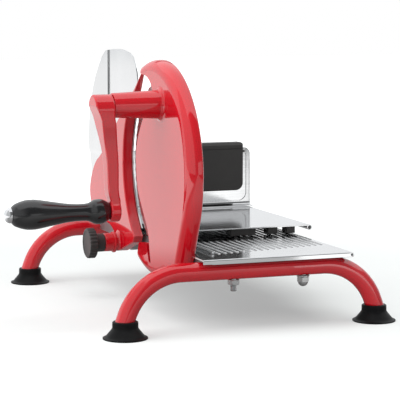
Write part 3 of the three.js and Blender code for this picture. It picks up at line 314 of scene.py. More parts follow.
BEVEL_FROM, KEPT_FROM = 38, 40  # degrees: edges sharper than this get a bevel


def round_edges(obj, width, segments, angle):
    mod = obj.modifiers.new("edges", "BEVEL")
    mod.width = width * MM
    mod.segments = segments
    mod.limit_method = "ANGLE"
    mod.angle_limit = radians(angle)


def piece(node, obj, look, bevel=0.0, angle=32, segments=2):
    """Dresses a finished solid and seats it on its body in place of its node."""
    obj.name = f"{node}_skin"
    obj.data.materials.clear()
    obj.data.materials.append(LOOKS[look])
    if bevel:
        round_edges(obj, bevel, segments, BEVEL_FROM)
        apply_modifiers(obj)
    obj.data.name = obj.name
    obj.data.shade_smooth()
    obj.data.set_sharp_from_angle(angle=radians(angle))
    normal = obj.modifiers.new("normals", "WEIGHTED_NORMAL")
    normal.keep_sharp = True
    normal.weight = 60
    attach(obj, NODE_BODY[node])
    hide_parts(node)


# ------------ node trees

class Tree:
    """Shortcuts for the node tree of a material or a world."""

    def __init__(self, owner, coords="Object"):
        owner.use_nodes = True
        self.tree = owner.node_tree
        self.tree.nodes.clear()
        self.coords = self.node("ShaderNodeTexCoord").outputs[coords]

    def node(self, kind, sockets=(), **fields):
        """Makes a node. A socket gets a value, or a link where it is given another's output."""
        made = self.tree.nodes.new(kind)
        for key, value in fields.items():
            setattr(made, key, value)
        for label, value in dict(sockets).items():
            if isinstance(value, bpy.types.NodeSocket):
                self.tree.links.new(value, made.inputs[label])
            else:
                made.inputs[label].default_value = value
        return made

    def axes(self):
        return tuple(self.node("ShaderNodeSeparateXYZ", {0: self.coords}).outputs)

    def scaled(self, scale):
        return self.node("ShaderNodeMapping", {"Scale": scale, "Vector": self.coords}).outputs[0]

    def noise(self, scale, detail=3.0, rough=0.55, vector=None):
        return self.node("ShaderNodeTexNoise", {
            "Scale": scale, "Detail": detail, "Roughness": rough,
            "Vector": vector or self.coords}).outputs["Fac"]

    def cells(self, scale):
        node = self.node("ShaderNodeTexVoronoi", {"Scale": scale, "Vector": self.coords})
        return node.outputs["Distance"]

    def span(self, value, low, high, start=0.3, end=0.7, kind="LINEAR"):
        """Maps a value from start and end to low and high."""
        return self.node("ShaderNodeMapRange", {
            "From Min": start, "From Max": end, "To Min": low, "To Max": high, "Value": value},
            interpolation_type=kind).outputs[0]

    def fade(self, value, edge, low=0.0, high=1.0):
        return self.span(value, low, high, *edge, "SMOOTHSTEP")

    def maths(self, how, value, *others):
        if not others:
            return self.node("ShaderNodeMath", {0: value}, operation=how).outputs[0]
        for other in others:
            value = self.node("ShaderNodeMath", {0: value, 1: other}, operation=how).outputs[0]
        return value

    def shade(self, value, dark, pale, start=0.3, end=0.7):
        node = self.node("ShaderNodeValToRGB", {0: value})
        for element, place_at, colour in zip(node.color_ramp.elements, (start, end), (dark, pale)):
            element.position = place_at
            element.color = (*colour, 1)
        return node.outputs["Color"]

    def bump(self, height, depth, strength):
        """depth is the height of the relief in millimetres."""
        return self.node("ShaderNodeBump", {
            "Distance": depth * MM, "Strength": strength, "Height": height}).outputs[0]


SOCKETS = {"colour": "Base Color", "rough": "Roughness", "normal": "Normal", "metal": "Metallic",
           "level": "Specular IOR Level", "coat": "Coat Weight", "coat_rough": "Coat Roughness",
           "coat_ior": "Coat IOR", "coat_normal": "Coat Normal"}


def finish(tree, **values):
    shader = tree.node("ShaderNodeBsdfPrincipled", {SOCKETS[k]: v for k, v in values.items()})
    tree.node("ShaderNodeOutputMaterial", {0: shader.outputs[0]})


# ------------ finishes

def red_paint(t):
    """Paint with a fine speck under a clear coat with orange peel."""
    peel, speck = t.noise(420, 2), t.noise(2600, 2)
    finish(t, colour=t.shade(t.noise(9, 4), (0.48, 0.0025, 0.0090), (0.54, 0.0036, 0.0115)),
           rough=t.span(speck, 0.24, 0.31), normal=t.bump(speck, 0.004, 0.5), metal=0.0, level=0.0,
           coat=1.0, coat_rough=0.03, coat_ior=1.9, coat_normal=t.bump(peel, 0.010, 0.5))


def polished_steel(t):
    """Sheet with a fine grain along x and a faint haze."""
    streak = t.noise(1.0, 3, 0.5, t.scaled((14.0, 900.0, 900.0)))
    haze = t.noise(22, 4)
    mixed = t.maths("MULTIPLY", streak, t.span(haze, 0.85, 1.15))
    finish(t, colour=t.shade(haze, (0.66, 0.665, 0.67), (0.72, 0.725, 0.73)),
           rough=t.span(mixed, 0.085, 0.15), normal=t.bump(streak, 0.0005, 0.3), metal=1.0)


def blade_steel(t):
    """Ground steel with fine rings round the axle."""
    _, y, z = t.axes()
    dy = t.maths("SUBTRACT", y, AXIS[0] * MM)
    dz = t.maths("SUBTRACT", z, AXIS[1] * MM)
    squares = [t.maths("MULTIPLY", d, d) for d in (dy, dz)]
    radius = t.maths("SQRT", t.maths("ADD", *squares))
    rings = t.node("ShaderNodeCombineXYZ", {0: t.maths("MULTIPLY", radius, 2600.0)})
    lines = t.noise(1.0, 4, 0.6, rings.outputs[0])
    finish(t, colour=t.shade(t.noise(18, 4), (0.60, 0.605, 0.61), (0.68, 0.685, 0.69)),
           rough=t.span(lines, 0.17, 0.27), normal=t.bump(lines, 0.003, 0.5), metal=1.0)


def zinc_steel(t):
    grain = t.cells(700)
    finish(t, colour=t.shade(t.noise(60, 4), (0.47, 0.475, 0.48), (0.60, 0.60, 0.595)),
           rough=t.span(grain, 0.22, 0.36, 0.1, 0.6), normal=t.bump(grain, 0.006, 0.4), metal=1.0)


def cast_aluminium(t):
    skin = t.noise(900, 4, 0.65)
    finish(t, colour=t.shade(t.noise(35, 3), (0.36, 0.365, 0.37), (0.46, 0.465, 0.47)),
           rough=t.span(skin, 0.42, 0.6), normal=t.bump(skin, 0.05, 0.7), metal=1.0)


def bronze(t):
    lines = t.noise(1.0, 3, 0.5, t.scaled((2400.0, 40.0, 40.0)))
    finish(t, colour=t.shade(t.noise(80, 3), (0.40, 0.23, 0.075), (0.50, 0.31, 0.11)),
           rough=t.span(lines, 0.28, 0.42), normal=t.bump(lines, 0.004, 0.5), metal=1.0)


def chrome(t):
    haze = t.noise(120, 4)
    finish(t, colour=t.shade(haze, (0.78, 0.785, 0.80), (0.83, 0.835, 0.84)),
           rough=t.span(haze, 0.05, 0.09), normal=t.bump(t.noise(500, 2), 0.001, 0.3), metal=1.0)


def black_rubber(t):
    dust = t.noise(45, 5)
    finish(t, colour=t.shade(dust, (0.0045, 0.0045, 0.0050), (0.011, 0.011, 0.011), 0.35, 0.75),
           rough=t.span(dust, 0.34, 0.48), normal=t.bump(t.noise(1500, 4, 0.7), 0.012, 0.5),
           level=0.1)


def black_plastic(t):
    rub = t.noise(55, 4)
    finish(t, colour=t.shade(rub, (0.036, 0.034, 0.033), (0.043, 0.041, 0.040)),
           rough=t.span(rub, 0.36, 0.47), normal=t.bump(t.cells(2200), 0.012, 0.35), level=0.3)


def gloss_plastic(t):
    wave = t.noise(60, 2)
    scuff = t.noise(1.0, 5, 0.7, t.scaled((300.0, 1600.0, 1600.0)))
    finish(t, colour=t.shade(wave, (0.0060, 0.0060, 0.0068), (0.0085, 0.0085, 0.0092)),
           rough=t.span(scuff, 0.14, 0.22), normal=t.bump(wave, 0.02, 0.3), level=0.9)


def nylon(t):
    cloud = t.noise(70, 3)
    finish(t, colour=t.shade(cloud, (0.70, 0.67, 0.58), (0.77, 0.74, 0.66)),
           rough=t.span(cloud, 0.45, 0.55), normal=t.bump(t.noise(1400, 3), 0.01, 0.4))


RED, RUBBER, PLASTIC, GLOSS = "red_paint", "black_rubber", "black_plastic", "gloss_plastic"
STEEL, BLADE, ZINC, CAST = "polished_steel", "blade_steel", "zinc_steel", "cast_aluminium"
BRONZE, NYLON, CHROME = "bronze", "nylon", "chrome"
LOOKS = {}
for look in (red_paint, black_rubber, black_plastic, gloss_plastic, polished_steel, blade_steel,
             zinc_steel, cast_aluminium, bronze, nylon, chrome):
    LOOKS[look.__name__] = bpy.data.materials.new(look.__name__)
    look(Tree(LOOKS[look.__name__]))

# ------------ tube frame and feet

TUBE_R, TUBE_BORE, TUBE_Z = 8.5, 7.0, 55.5
CREST, UNDER = TUBE_Z + TUBE_R, TUBE_Z - TUBE_R
BEND_R = 54
LEG = radians(70.4)  # a leg's slope
LEG_END_Z = 6.5
FOOT_X, FOOT_Y, FOOT_H = 121, 160, 15.5
LEG_END_X = FOOT_X + (FOOT_H - LEG_END_Z) / tan(LEG)
CORNER_X = LEG_END_X - (TUBE_Z - LEG_END_Z) / tan(LEG)
BEND_X = CORNER_X - BEND_R * tan(LEG / 2)
SIDES = (("front", -FOOT_Y), ("rear", FOOT_Y))
HANDS = (("left", -1), ("right", 1))
AROUND = 48  # points round a tube


def hoop(x, y, z, along, radius):
    """Points round a path that runs in the direction along, given in x and z."""
    t = along / np.linalg.norm(along)
    points = []
    for k in range(AROUND):
        w = 2 * pi * k / AROUND
        u, v = radius * cos(w), radius * sin(w)
        points.append((x - t[1] * u, y + v, z + t[0] * u))
    return points


def tube(y):
    """An inverted U, hollow and open at both ends."""
    bend = arc(BEND_X, TUBE_Z - BEND_R, BEND_R, pi / 2, pi / 2 - LEG, 22)
    x, z = bend[-1]
    right = bend + [(x + (LEG_END_X - x) * s, z + (LEG_END_Z - z) * s) for s in (0.5, 1)]
    path = np.array([(-x, z) for x, z in reversed(right)] + right)
    n = len(path)
    points = []
    for radius in (TUBE_R, TUBE_BORE):
        for i, (x, z) in enumerate(path):
            legs = np.diff(path[max(i - 1, 0):i + 2], axis=0)
            along = sum(leg / np.linalg.norm(leg) for leg in legs)
            points += hoop(x, y, z, along, radius)
    walls = [(shell + i, shell + i + 1) for shell in (0, n) for i in range(n - 1)]
    return raw(points, bands(walls + [(0, n), (n - 1, 2 * n - 1)], AROUND))


STUDS_X = (-19, 49)
STUD_R = 3
for side, y in SIDES:
    holes = [rod("z", STUD_R + FIT, UNDER - PAST, CREST + PAST, (x, y), 0) for x in STUDS_X]
    piece(f"{side}_tube", cut(tube(y), *holes), RED, angle=40)


def foot(x, y, sign):
    """A suction cup: thin skirt, flared cone and a collar that the tube's end sits in."""
    rim, collar, top = 20, 11.5, FOOT_H
    flare = spline([(rim, 1.2), (rim - 2.6, 2.5), (collar + 3.4, 5.4), (collar + 1.1, 8.2),
                    (collar, 10)], 20)
    collar_line = soften([(collar, 10), (collar, top), (0, top)], [0, 1.3, 0], 5)
    dome = spline([(0, 4.5), (collar * 0.55, 4.2), (collar + 1.2, 2.6), (rim - 3, 0)], 14)
    bead = soften([(rim - 3, 0), (rim, 0), (rim, 1.2)], [0, 0.5, 0], 3)
    whole = lathe("z", (x, y), dome + bead[1:-1] + flare + collar_line[1:], 96)
    ends = [(sign * (LEG_END_X - cos(LEG) * s), LEG_END_Z + sin(LEG) * s)
            for s in (-FIT, 2 * FOOT_H)]
    along = np.subtract(ends[1], ends[0])
    return cut(whole, loft([hoop(ex, y, ez, along, TUBE_R + GAP) for ex, ez in ends]))


for side, y in SIDES:
    for hand, sign in HANDS:
        piece(f"foot_{side}_{hand}", foot(sign * FOOT_X, y, sign), RUBBER, angle=45)

# ------------ base plate, studs and nuts

PLATE_LOW, PLATE_TOP = 66, 67.5
PLATE_NEAR, PLATE_FAR = -172, 172
PLATE_RIGHT, HEM = 91.6, 2.3
SHEET = 1.5
RIB_TOP = PLATE_TOP + 0.8
RIB_LEFT, RIB_STEP, RIB_COUNT, RIB_SLANT = -25.2, 6.5, 18, 0.19
PITCH, THREAD = 0.5, 0.32
NUT_AF, NUT_H, WASHER_R = 10, 4.6, 5.9
HEX_R = NUT_AF / 2 / cos(pi / 6)
WASHER_TOP = UNDER - GAP
WASHER_LOW = WASHER_TOP - 1.2
CAP_TOP = WASHER_LOW - GAP
CAP_LOW = CAP_TOP - NUT_H


def rib(x, y0, y1):
    """A pressed rib, rounded across and at both ends."""
    half, sunk = 1.3, 0.3
    outline = arc(x, y1 - half, half, 0, pi, 10) + arc(x, y0 + half, half, pi, 2 * pi, 10)
    loops = []
    for t in evenly(0, pi / 2, 5):
        keep = cos(t) * 0.999 + 0.001
        z = PLATE_TOP - sunk + (RIB_TOP - PLATE_TOP + sunk) * sin(t) ** 0.8
        loop = []
        for u, v in outline:
            middle = min(max(v, y0 + half), y1 - half)
            loop.append((x + (u - x) * keep, middle + (v - middle) * keep, z))
        loops.append(loop)
    return loft(loops)


def base_plate():
    """A sheet with both ends bent down into lips and a rolled right edge."""
    tab, left = -52.5, -45.8
    tab_end = PLATE_NEAR + 30
    outer = [(tab, PLATE_NEAR), (PLATE_RIGHT, PLATE_NEAR), (PLATE_RIGHT, PLATE_FAR),
             (left, PLATE_FAR), (left, tab_end), (tab, tab_end)]
    top = slab("z", soften(outer, [0, 0, 0, 0, 0.5, 2], 4), PLATE_LOW, PLATE_TOP, 0.25)
    lip = soften([(PLATE_NEAR - SHEET, PLATE_LOW - 3), (PLATE_NEAR, PLATE_LOW - 3),
                  (PLATE_NEAR, PLATE_LOW), (PLATE_NEAR + 3, PLATE_LOW),
                  (PLATE_NEAR + 3, PLATE_TOP), (PLATE_NEAR - SHEET, PLATE_TOP)],
                 [0.3, 0.3, 0.8, 0, 0, 1.3], 5)
    slant = [(tab - 1, PLATE_TOP - 0.4), (tab - 1, PLATE_LOW - 5), (tab + 12, PLATE_LOW - 5),
             (tab + 9, PLATE_LOW - 3)]
    near = cut(slab("x", lip, tab, PLATE_RIGHT),
               slab("y", slant, PLATE_NEAR - 4, PLATE_NEAR - 0.001))
    far = slab("x", [(-u, v) for u, v in lip], left, PLATE_RIGHT)
    return rolled_edge([top, near, far], PLATE_RIGHT, PLATE_TOP, HEM,
                       PLATE_NEAR - SHEET, PLATE_FAR + SHEET, 1.3, 8)


def stud(x, y, low):
    """A threaded stud welded under the plate."""
    z = low + 0.8
    line = [(0, low), (STUD_R - 0.7, low), (STUD_R - 0.1, z)]
    while z < UNDER - 0.6:
        line += [(STUD_R, z + PITCH / 2), (STUD_R - THREAD, z + PITCH)]
        z += PITCH
    line += [(STUD_R, z + 0.4), (STUD_R, PLATE_TOP - 0.2), (0, PLATE_TOP - 0.2)]
    return lathe("z", (x, y), line, 32)


studs = [stud(x, y, low) for x, low in zip(STUDS_X, (UNDER - 10.8, CAP_LOW - GAP))
         for _, y in SIDES]
ribs = [rib(RIB_LEFT + RIB_STEP * k, PLATE_NEAR + 30 + RIB_STEP * k * RIB_SLANT, PLATE_FAR - 30)
        for k in range(RIB_COUNT)]
piece("base_plate", join(join(base_plate(), *studs), *ribs), STEEL, angle=30)


def hex_prism(x, y, low, high, chamfer_low):
    """A nut blank: a hexagon met with a turned blank, so that its corners are chamfered."""
    flat, corner = NUT_AF / 2 - 0.15, HEX_R + 0.02
    rise = (corner - flat) * 0.6
    foot_line = [(flat, low), (corner, low + rise)] if chamfer_low else [(corner + 1, low)]
    profile = [(0, low)] + foot_line + [(corner, high - rise), (flat, high), (0, high)]
    return meet(slab("z", hexagon(x, y, HEX_R), low, high), lathe("z", (x, y), profile, 72))


for side, y in SIDES:
    x = STUDS_X[0]
    nut = cut(hex_prism(x, y, WASHER_TOP - NUT_H, WASHER_TOP, True),
              rod("z", STUD_R + GAP, UNDER - 20, UNDER + 5, (x, y), 0))
    piece(f"hex_nut_{side}", nut, ZINC, bevel=0.12)
    x = STUDS_X[1]
    dome = [(4.6 * sin(t), CAP_LOW - 4.4 * cos(t)) for t in evenly(0, pi / 2, 10)]
    dome += [(4.75, CAP_LOW + 0.25), (0, CAP_LOW + 0.25)]
    cap = join(hex_prism(x, y, CAP_LOW, CAP_TOP, False), lathe("z", (x, y), dome, 48))
    cap = cut(cap, rod("z", STUD_R + GAP, CAP_LOW, CAP_TOP + PAST, (x, y), 0))
    piece(f"cap_nut_{side}", cap, ZINC, bevel=0.12)
    for name, low, high in (("stud_washer", WASHER_LOW, WASHER_TOP),
                            ("plate_spacer", CREST + GAP, PLATE_LOW - GAP)):
        piece(f"{name}_{side}", ring("z", STUD_R + FIT, WASHER_R, low, high, (x, y)), ZINC)

# ------------ blade housing

RIM, ROOM = 102.4, 88  # the ring's outside and inside radius
FACE, FRONT = -62, -46.5  # the housing's crank side and blade side
POCKET, CHAMBER = -53.5, -59.5
CRANK = (-85, 200)
SHOULDER = radians(204)
TIES_Y, TIE_Z, TIE_R = (-128, -104, -80), 48.8, 3
BEARING_END, BUSH_R, SHAFT_R = -108.4, 7, 5
HALF_MODULE, CRANK_TEETH, IDLER_TEETH, PINION_TEETH = 0.75, 22, 28, 16


def from_axis(shares):
    """Points in y and z, given as shares of the ring's radius from the blade's axis."""
    return [(AXIS[0] + u * RIM, AXIS[1] + v * RIM) for u, v in shares]


CASE_EDGE = from_axis([(0.215, 0.44), (0.337, 0.288), (0.405, 0.142), (0.41, 0.005),
                       (0.366, -0.21), (0.225, -0.4), (0.083, -0.571), (0.03, -0.757)])
UPPER_NOTCH = from_axis([(0.1, 0.52), (-0.03, 0.61), (-0.055, 0.72), (0, 0.795), (0.11, 0.845),
                         (0.27, 0.86)])
LOWER_NOTCH = from_axis([(0.371, -0.796), (0.342, -0.718), (0.098, -0.688), (0.093, -0.776),
                         (0.054, -0.864), (0, -0.864)])
LID_SCREWS = from_axis([(-0.146, -0.6), (-0.674, 0.122), (0.166, 0.298)])


def idler_axis():
    """The third corner of the triangle between the crank's and the blade's axes."""
    first = HALF_MODULE * (CRANK_TEETH + IDLER_TEETH)
    second = HALF_MODULE * (IDLER_TEETH + PINION_TEETH)
    span = dist(CRANK, AXIS)
    along = (first ** 2 - second ** 2 + span ** 2) / (2 * span)
    aside = sqrt(first ** 2 - along ** 2)
    u = ((AXIS[0] - CRANK[0]) / span, (AXIS[1] - CRANK[1]) / span)
    return (CRANK[0] + along * u[0] + aside * u[1], CRANK[1] + along * u[1] - aside * u[0])


IDLER = idler_axis()


def rim_profile():
    back = [(RIM - 10.4 + 10.4 * sin(t), FACE + 11.5 - 11.5 * cos(t))
            for t in evenly(0, pi / 2, 22)]
    front = arc(RIM - 2.5, FRONT - 2.5, 2.5, 0, pi / 2, 6)
    return [(0, FACE)] + back + front[1:] + [(0, FRONT)]


def pedestal():
    """The rim runs on straight from its shoulder, so it keeps the rim's own profile."""
    length = 20.8 + RIM * sin(SHOULDER - pi)
    out = np.array([0, cos(SHOULDER), sin(SHOULDER)])
    along = np.array([0, -sin(SHOULDER), cos(SHOULDER)])
    base = np.array([0, *AXIS])
    straight = loft([[tuple(base + out * r + along * s + np.array([h, 0, 0]))
                      for r, h in rim_profile()] for s in (0, length)])
    near = AXIS[0] - RIM
    body = [(near, 44), (-66, 44), (-55.6, 58.4), AXIS, (near, AXIS[1])]
    return meet(straight, slab("x", soften(body, [0, 2, 0, 0, 0], 5), FACE - PAST, FRONT + PAST))


def flared_boss(centre, root, radius, tip, end, fillet, edge, steps, segments):
    """A round boss towards the crank side, with a fillet at its root and a rounded mouth."""
    flare = arc(radius + fillet, root - fillet, fillet, pi / 2, pi, steps)
    mouth = soften([(radius, root - fillet), (tip, end), (0, end)], [0, edge, 0], 4)
    inside = [(0, root + PAST), (radius + fillet, root + PAST)]
    return lathe("x", centre, inside + flare + mouth[1:], segments)


def blade_housing():
    outer = arc(*AXIS, RIM + 3, radians(69), 2 * pi - radians(66), 120)
    lower = soften(LOWER_NOTCH, [0, 2.5, 3, 3, 3, 0], 5)
    outline = outer + lower + spline(CASE_EDGE[::-1], 60) + spline(UPPER_NOTCH, 36)
    disc = meet(lathe("x", AXIS, rim_profile(), 240),
                slab("x", outline, FACE - PAST, FRONT + PAST))
    bearing = flared_boss(CRANK, FACE, 13, 11.2, BEARING_END, 4, 0.7, 10, 120)
    beyond = spline(CASE_EDGE, 60) + [(AXIS[0], 44), (AXIS[0], 29.6), (AXIS[0] + RIM, 29.6),
                                      (AXIS[0] + RIM, CRANK[1])]
    lower_part = cut(pedestal(), slab("x", beyond, FACE - PAST, FRONT + PAST))
    whole = join(disc, lower_part, bearing)
    pocket = rod("x", ROOM, POCKET, FRONT + PAST, AXIS, 0, 200)
    wall, centre = 4, (AXIS[0] - 0.215 * RIM, AXIS[1])
    inner = []
    for y, z in CASE_EDGE[:-1]:
        out = hypot(y - centre[0], z - centre[1])
        keep = (out - wall) / out
        inner.append((centre[0] + (y - centre[0]) * keep, centre[1] + (z - centre[1]) * keep))
    core = spline(inner, 40) + arc(*centre, 0.625 * RIM - wall, -0.7 * pi, -1.25 * pi, 40)
    rooms = [slab("x", core, CHAMBER, POCKET + PAST)]
    rooms += [rod("x", r, CHAMBER, POCKET + PAST, c, 0, 64)
              for r, c in ((20.5, CRANK), (27.5, IDLER))]
    bore = rod("x", BUSH_R + GAP, BEARING_END - PAST, CHAMBER + PAST, CRANK, 0)
    seats = [rod("x", r + GAP, CHAMBER - 1.5, CHAMBER + PAST, c, 0)
             for r, c in ((3, IDLER), (4, AXIS))]
    ties = [rod("x", TIE_R + GAP, -55.5, FRONT + PAST, (y, TIE_Z), 0) for y in TIES_Y]
    screws = [rod("x", 1.9, CHAMBER, POCKET + PAST, c, 0, 24) for c in LID_SCREWS]
    return cut(whole, pocket, *rooms, bore, *seats, *ties, *screws)


piece("blade_housing", blade_housing(), RED, bevel=0.7, segments=3, angle=35)

LID_BACK = POCKET + GAP
LID_FRONT = LID_BACK + 1.8
lid_line = spline([(y - 1, z) for y, z in CASE_EDGE[:-1]], 40)
lid_line += arc(*AXIS, ROOM - 1, 1.5 * pi, 0.6 * pi, 90)
lid_holes = [(12.1, AXIS, 64), (3.1, IDLER, 48)] + [(1.9, c, 48) for c in LID_SCREWS]
lid = cut(slab("x", lid_line, LID_BACK, LID_FRONT, 0.25),
          *[rod("x", r, LID_BACK - PAST, LID_FRONT + PAST, c, 0, n) for r, c, n in lid_holes])
piece("gear_lid", lid, ZINC)

for i, c in enumerate(LID_SCREWS):
    low, shoulder, face = LID_FRONT + GAP, LID_FRONT + 0.6, LID_FRONT + 1
    head = turned("x", c, [(0, low), (3.2, low), (3.2, shoulder), (2.4, face), (0, face)],
                  [0, 0.1, 0.2, 0.2, 0], 3, 40)
    screw = join(head, rod("x", 1.8, LID_FRONT - 4.5, shoulder, c, 0.2))
    piece(f"lid_screw_{i + 1}", driver_slot(screw, face, 0.5, c), ZINC)

# ------------ blade and its screw

BLADE_FRONT = BLADE_BACK + 1.2
BLADE_R, BEVEL_W, BLADE_TEETH = 85, 13, 60


def blade():
    """Ground from the crank side down to a wavy edge."""
    ground = BLADE_R - BEVEL_W
    rows = [(8, BLADE_BACK), (40, BLADE_BACK), (ground - 0.6, BLADE_BACK),
            (ground, BLADE_BACK + 0.03), (BLADE_R, BLADE_FRONT - 0.22), (BLADE_R, BLADE_FRONT),
            (ground, BLADE_FRONT), (40, BLADE_FRONT), (8, BLADE_FRONT)]

    def teeth(r, a):
        return r - (1 - cos(BLADE_TEETH * a)) / 2 if r == BLADE_R else r

    return lathe("x", AXIS, rows, 720, teeth)


piece("blade", blade(), BLADE, angle=20)
low, shoulder, face = BLADE_FRONT + GAP, BLADE_FRONT + 0.6, BLADE_FRONT + 1.6
head = turned("x", AXIS, [(0, low), (16, low), (16, shoulder), (13, face), (0, face)],
              [0, 0.1, 0.3, 0.6, 0], 4, 96)
screw = join(head, rod("x", 3, -53, shoulder, AXIS, 0.2))
slot_line = [(face - 0.8, -58), (face + 2.4, -58), (face + 2.4, -56), (face - 0.8, -56)]
slot = slab("z", soften(slot_line, 0.2, 2), AXIS[1] - 16.5, AXIS[1] + 16.5)
piece("blade_screw", cut(screw, slot), STEEL, bevel=0.12)

# ------------ crank arm, grip and bolt

HUB_FRONT = -108.7
HUB_BACK = HUB_FRONT - 18.1
BOSS_BACK, BOSS_FRONT = -111.6, -102.2
BOSS_Z = CRANK[1] - 96.4
BOLT_R = 4
GRIP_AXIS = (CRANK[0], BOSS_Z)
GRIP_FRONT, GRIP_L = BOSS_BACK - FIT, 91.4
GRIP_BACK = GRIP_FRONT - GRIP_L


def crank_arm():
    """A lofted bar between two faces that sway in x, with rounded edges along its outline."""
    cy, cz = CRANK
    low = cz - 4
    crown = [(13.6 * sin(t), low + 14.2 * cos(t)) for t in evenly(0, pi / 2, 16)]
    crown[0] = (0.4, crown[0][1])
    shank = spline([(13.6, low), (13.4, cz - 11), (12.3, cz - 18), (10.3, cz - 25), (8.4, cz - 33),
                    (7.2, cz - 44), (7, BOSS_Z + 22), (7.07, BOSS_Z + 7.07)], 44)
    boss = arc(0, BOSS_Z, 10, pi / 4, -pi / 2, 16)
    boss[-1] = (0.4, boss[-1][1])
    half = crown + shank[1:-1] + boss
    outer = spline([(HUB_BACK, cz), (HUB_BACK + 4.3, cz - 10), (HUB_BACK + 6.6, cz - 21),
                    (BOSS_BACK - 3.8, cz - 49), (BOSS_BACK - 2.5, BOSS_Z + 20),
                    (BOSS_BACK, BOSS_Z + 10)], 60)
    inner = spline([(HUB_FRONT, cz - 11), (HUB_FRONT + 1.8, cz - 21), (BOSS_FRONT - 1.8, cz - 49),
                    (BOSS_FRONT - 1.6, BOSS_Z + 20), (BOSS_FRONT, BOSS_Z + 10)], 60)

    def face_at(curve, z):
        xs, zs = zip(*reversed(curve))
        return float(np.interp(z, zs, xs))

    outline = [(cy + w, z) for w, z in half] + [(cy - w, z) for w, z in reversed(half)]
    outline = outline[::-1] if area(outline) < 0 else outline
    edge = edge_steps(1.7, 5)
    levels = [(reach, back, outer) for reach, back in edge]
    levels += [(reach, -back, inner) for reach, back in reversed(edge)]
    loops = [[(face_at(curve, v) + back, u, v) for u, v in inset(outline, reach)]
             for reach, back, curve in levels]
    n, top = len(outline), (len(levels) - 1) * len(outline)
    caps = []
    for i in range(len(half) - 1):
        quad = [i, i + 1, n - 2 - i, n - 1 - i]
        caps += [quad[::-1], [top + q for q in quad]]
    return loft(loops, caps)


arm = cut(crank_arm(), rod("x", SHAFT_R + GAP, HUB_FRONT - 12.8, HUB_FRONT + PAST, CRANK, 0),
          rod("x", BOLT_R + GAP, BOSS_BACK - PAST, BOSS_FRONT + PAST, GRIP_AXIS, 0),
          rod("y", 2.6, CRANK[0], CRANK[0] + 14, (HUB_FRONT - 9.05, CRANK[1]), 0, 32))
piece("crank_arm", arm, RED, angle=38)

GRIP_ROWS = [(7.8, 0), (11.1, 0.07), (11.1, 0.145), (8.3, 0.215), (7.8, 0.31), (8.6, 0.43),
             (11, 0.59), (13.2, 0.73), (13.6, 0.8), (13, 0.87), (10.2, 0.96), (7, 1)]
grip = spline([(r, GRIP_FRONT - GRIP_L * s) for r, s in GRIP_ROWS], 96)
grip = [(BOLT_R + GAP, GRIP_FRONT)] + grip + [(BOLT_R + GAP, GRIP_BACK)]
piece("handle_grip", lathe("x", GRIP_AXIS, grip, 96), GLOSS, angle=50)

CAP_FOOT, CAP_R = GRIP_BACK - GAP, 7
cap_line = [(CAP_R * sin(t), CAP_FOOT - 1 - 5.5 * cos(t)) for t in evenly(0, pi / 2, 14)]
cap_line += soften([(CAP_R, CAP_FOOT - 1), (CAP_R, CAP_FOOT), (0, CAP_FOOT)], [0, 0.3, 0], 3)[1:]
bolt = join(lathe("x", GRIP_AXIS, cap_line, 72),
            rod("x", BOLT_R, GRIP_BACK - 1, BOSS_FRONT - GAP, GRIP_AXIS, 0.4))
piece("handle_bolt", bolt, CHROME)

# ------------ slice guide

CARRIER_BACK, CARRIER_FRONT = -59.5, -50
STOP_BACK, STOP_FRONT = -49.9, -48.7
SPINDLE, GUIDE = (50, 54.7), (24, 59.4)
SLEEVE_R, SLEEVE_END = 9, -74.8
FAR_SIDE = from_axis([(0.503, 0.845), (0.635, 0.679), (0.85, 0.513), (1.143, 0.317),
                      (1.572, 0.024), (1.758, -0.073), (1.865, -0.166), (1.943, -0.269),
                      (1.982, -0.386), (1.943, -0.513), (1.787, -0.6), (1.553, -0.649),
                      (1.299, -0.679), (1.162, -0.747)])
TIP, HEEL = from_axis([(0.596, 0.679)]), from_axis([(0.596, -0.757)])
STOP_SCREWS = from_axis([(1.045, 0.3), (1.514, -0.288)])
STOP_TOP = from_axis([(0.71, 0.64), (0.724, 0.815), (0.772, 0.913), (0.864, 1.003), (1.025, 1.04),
                      (1.23, 1.057), (1.523, 1.046), (1.67, 1.03)])
CREASE, CREASE_ANGLE, CREASE_HALF = 107, radians(2.5), 1.5
JOGGLE = 1.3  # step of the stop plate's sheet at its bend, above the carrier
JOGGLE_LOW, JOGGLE_HIGH, JOGGLE_HALF = 133, 139, 0.4
KNOB_R = 15
KNOB_FRONT = SLEEVE_END - FIT
NECK_BACK = KNOB_FRONT - 9.3
KNOB_BACK = NECK_BACK - 7.9
INSERT_BACK = KNOB_BACK + 3


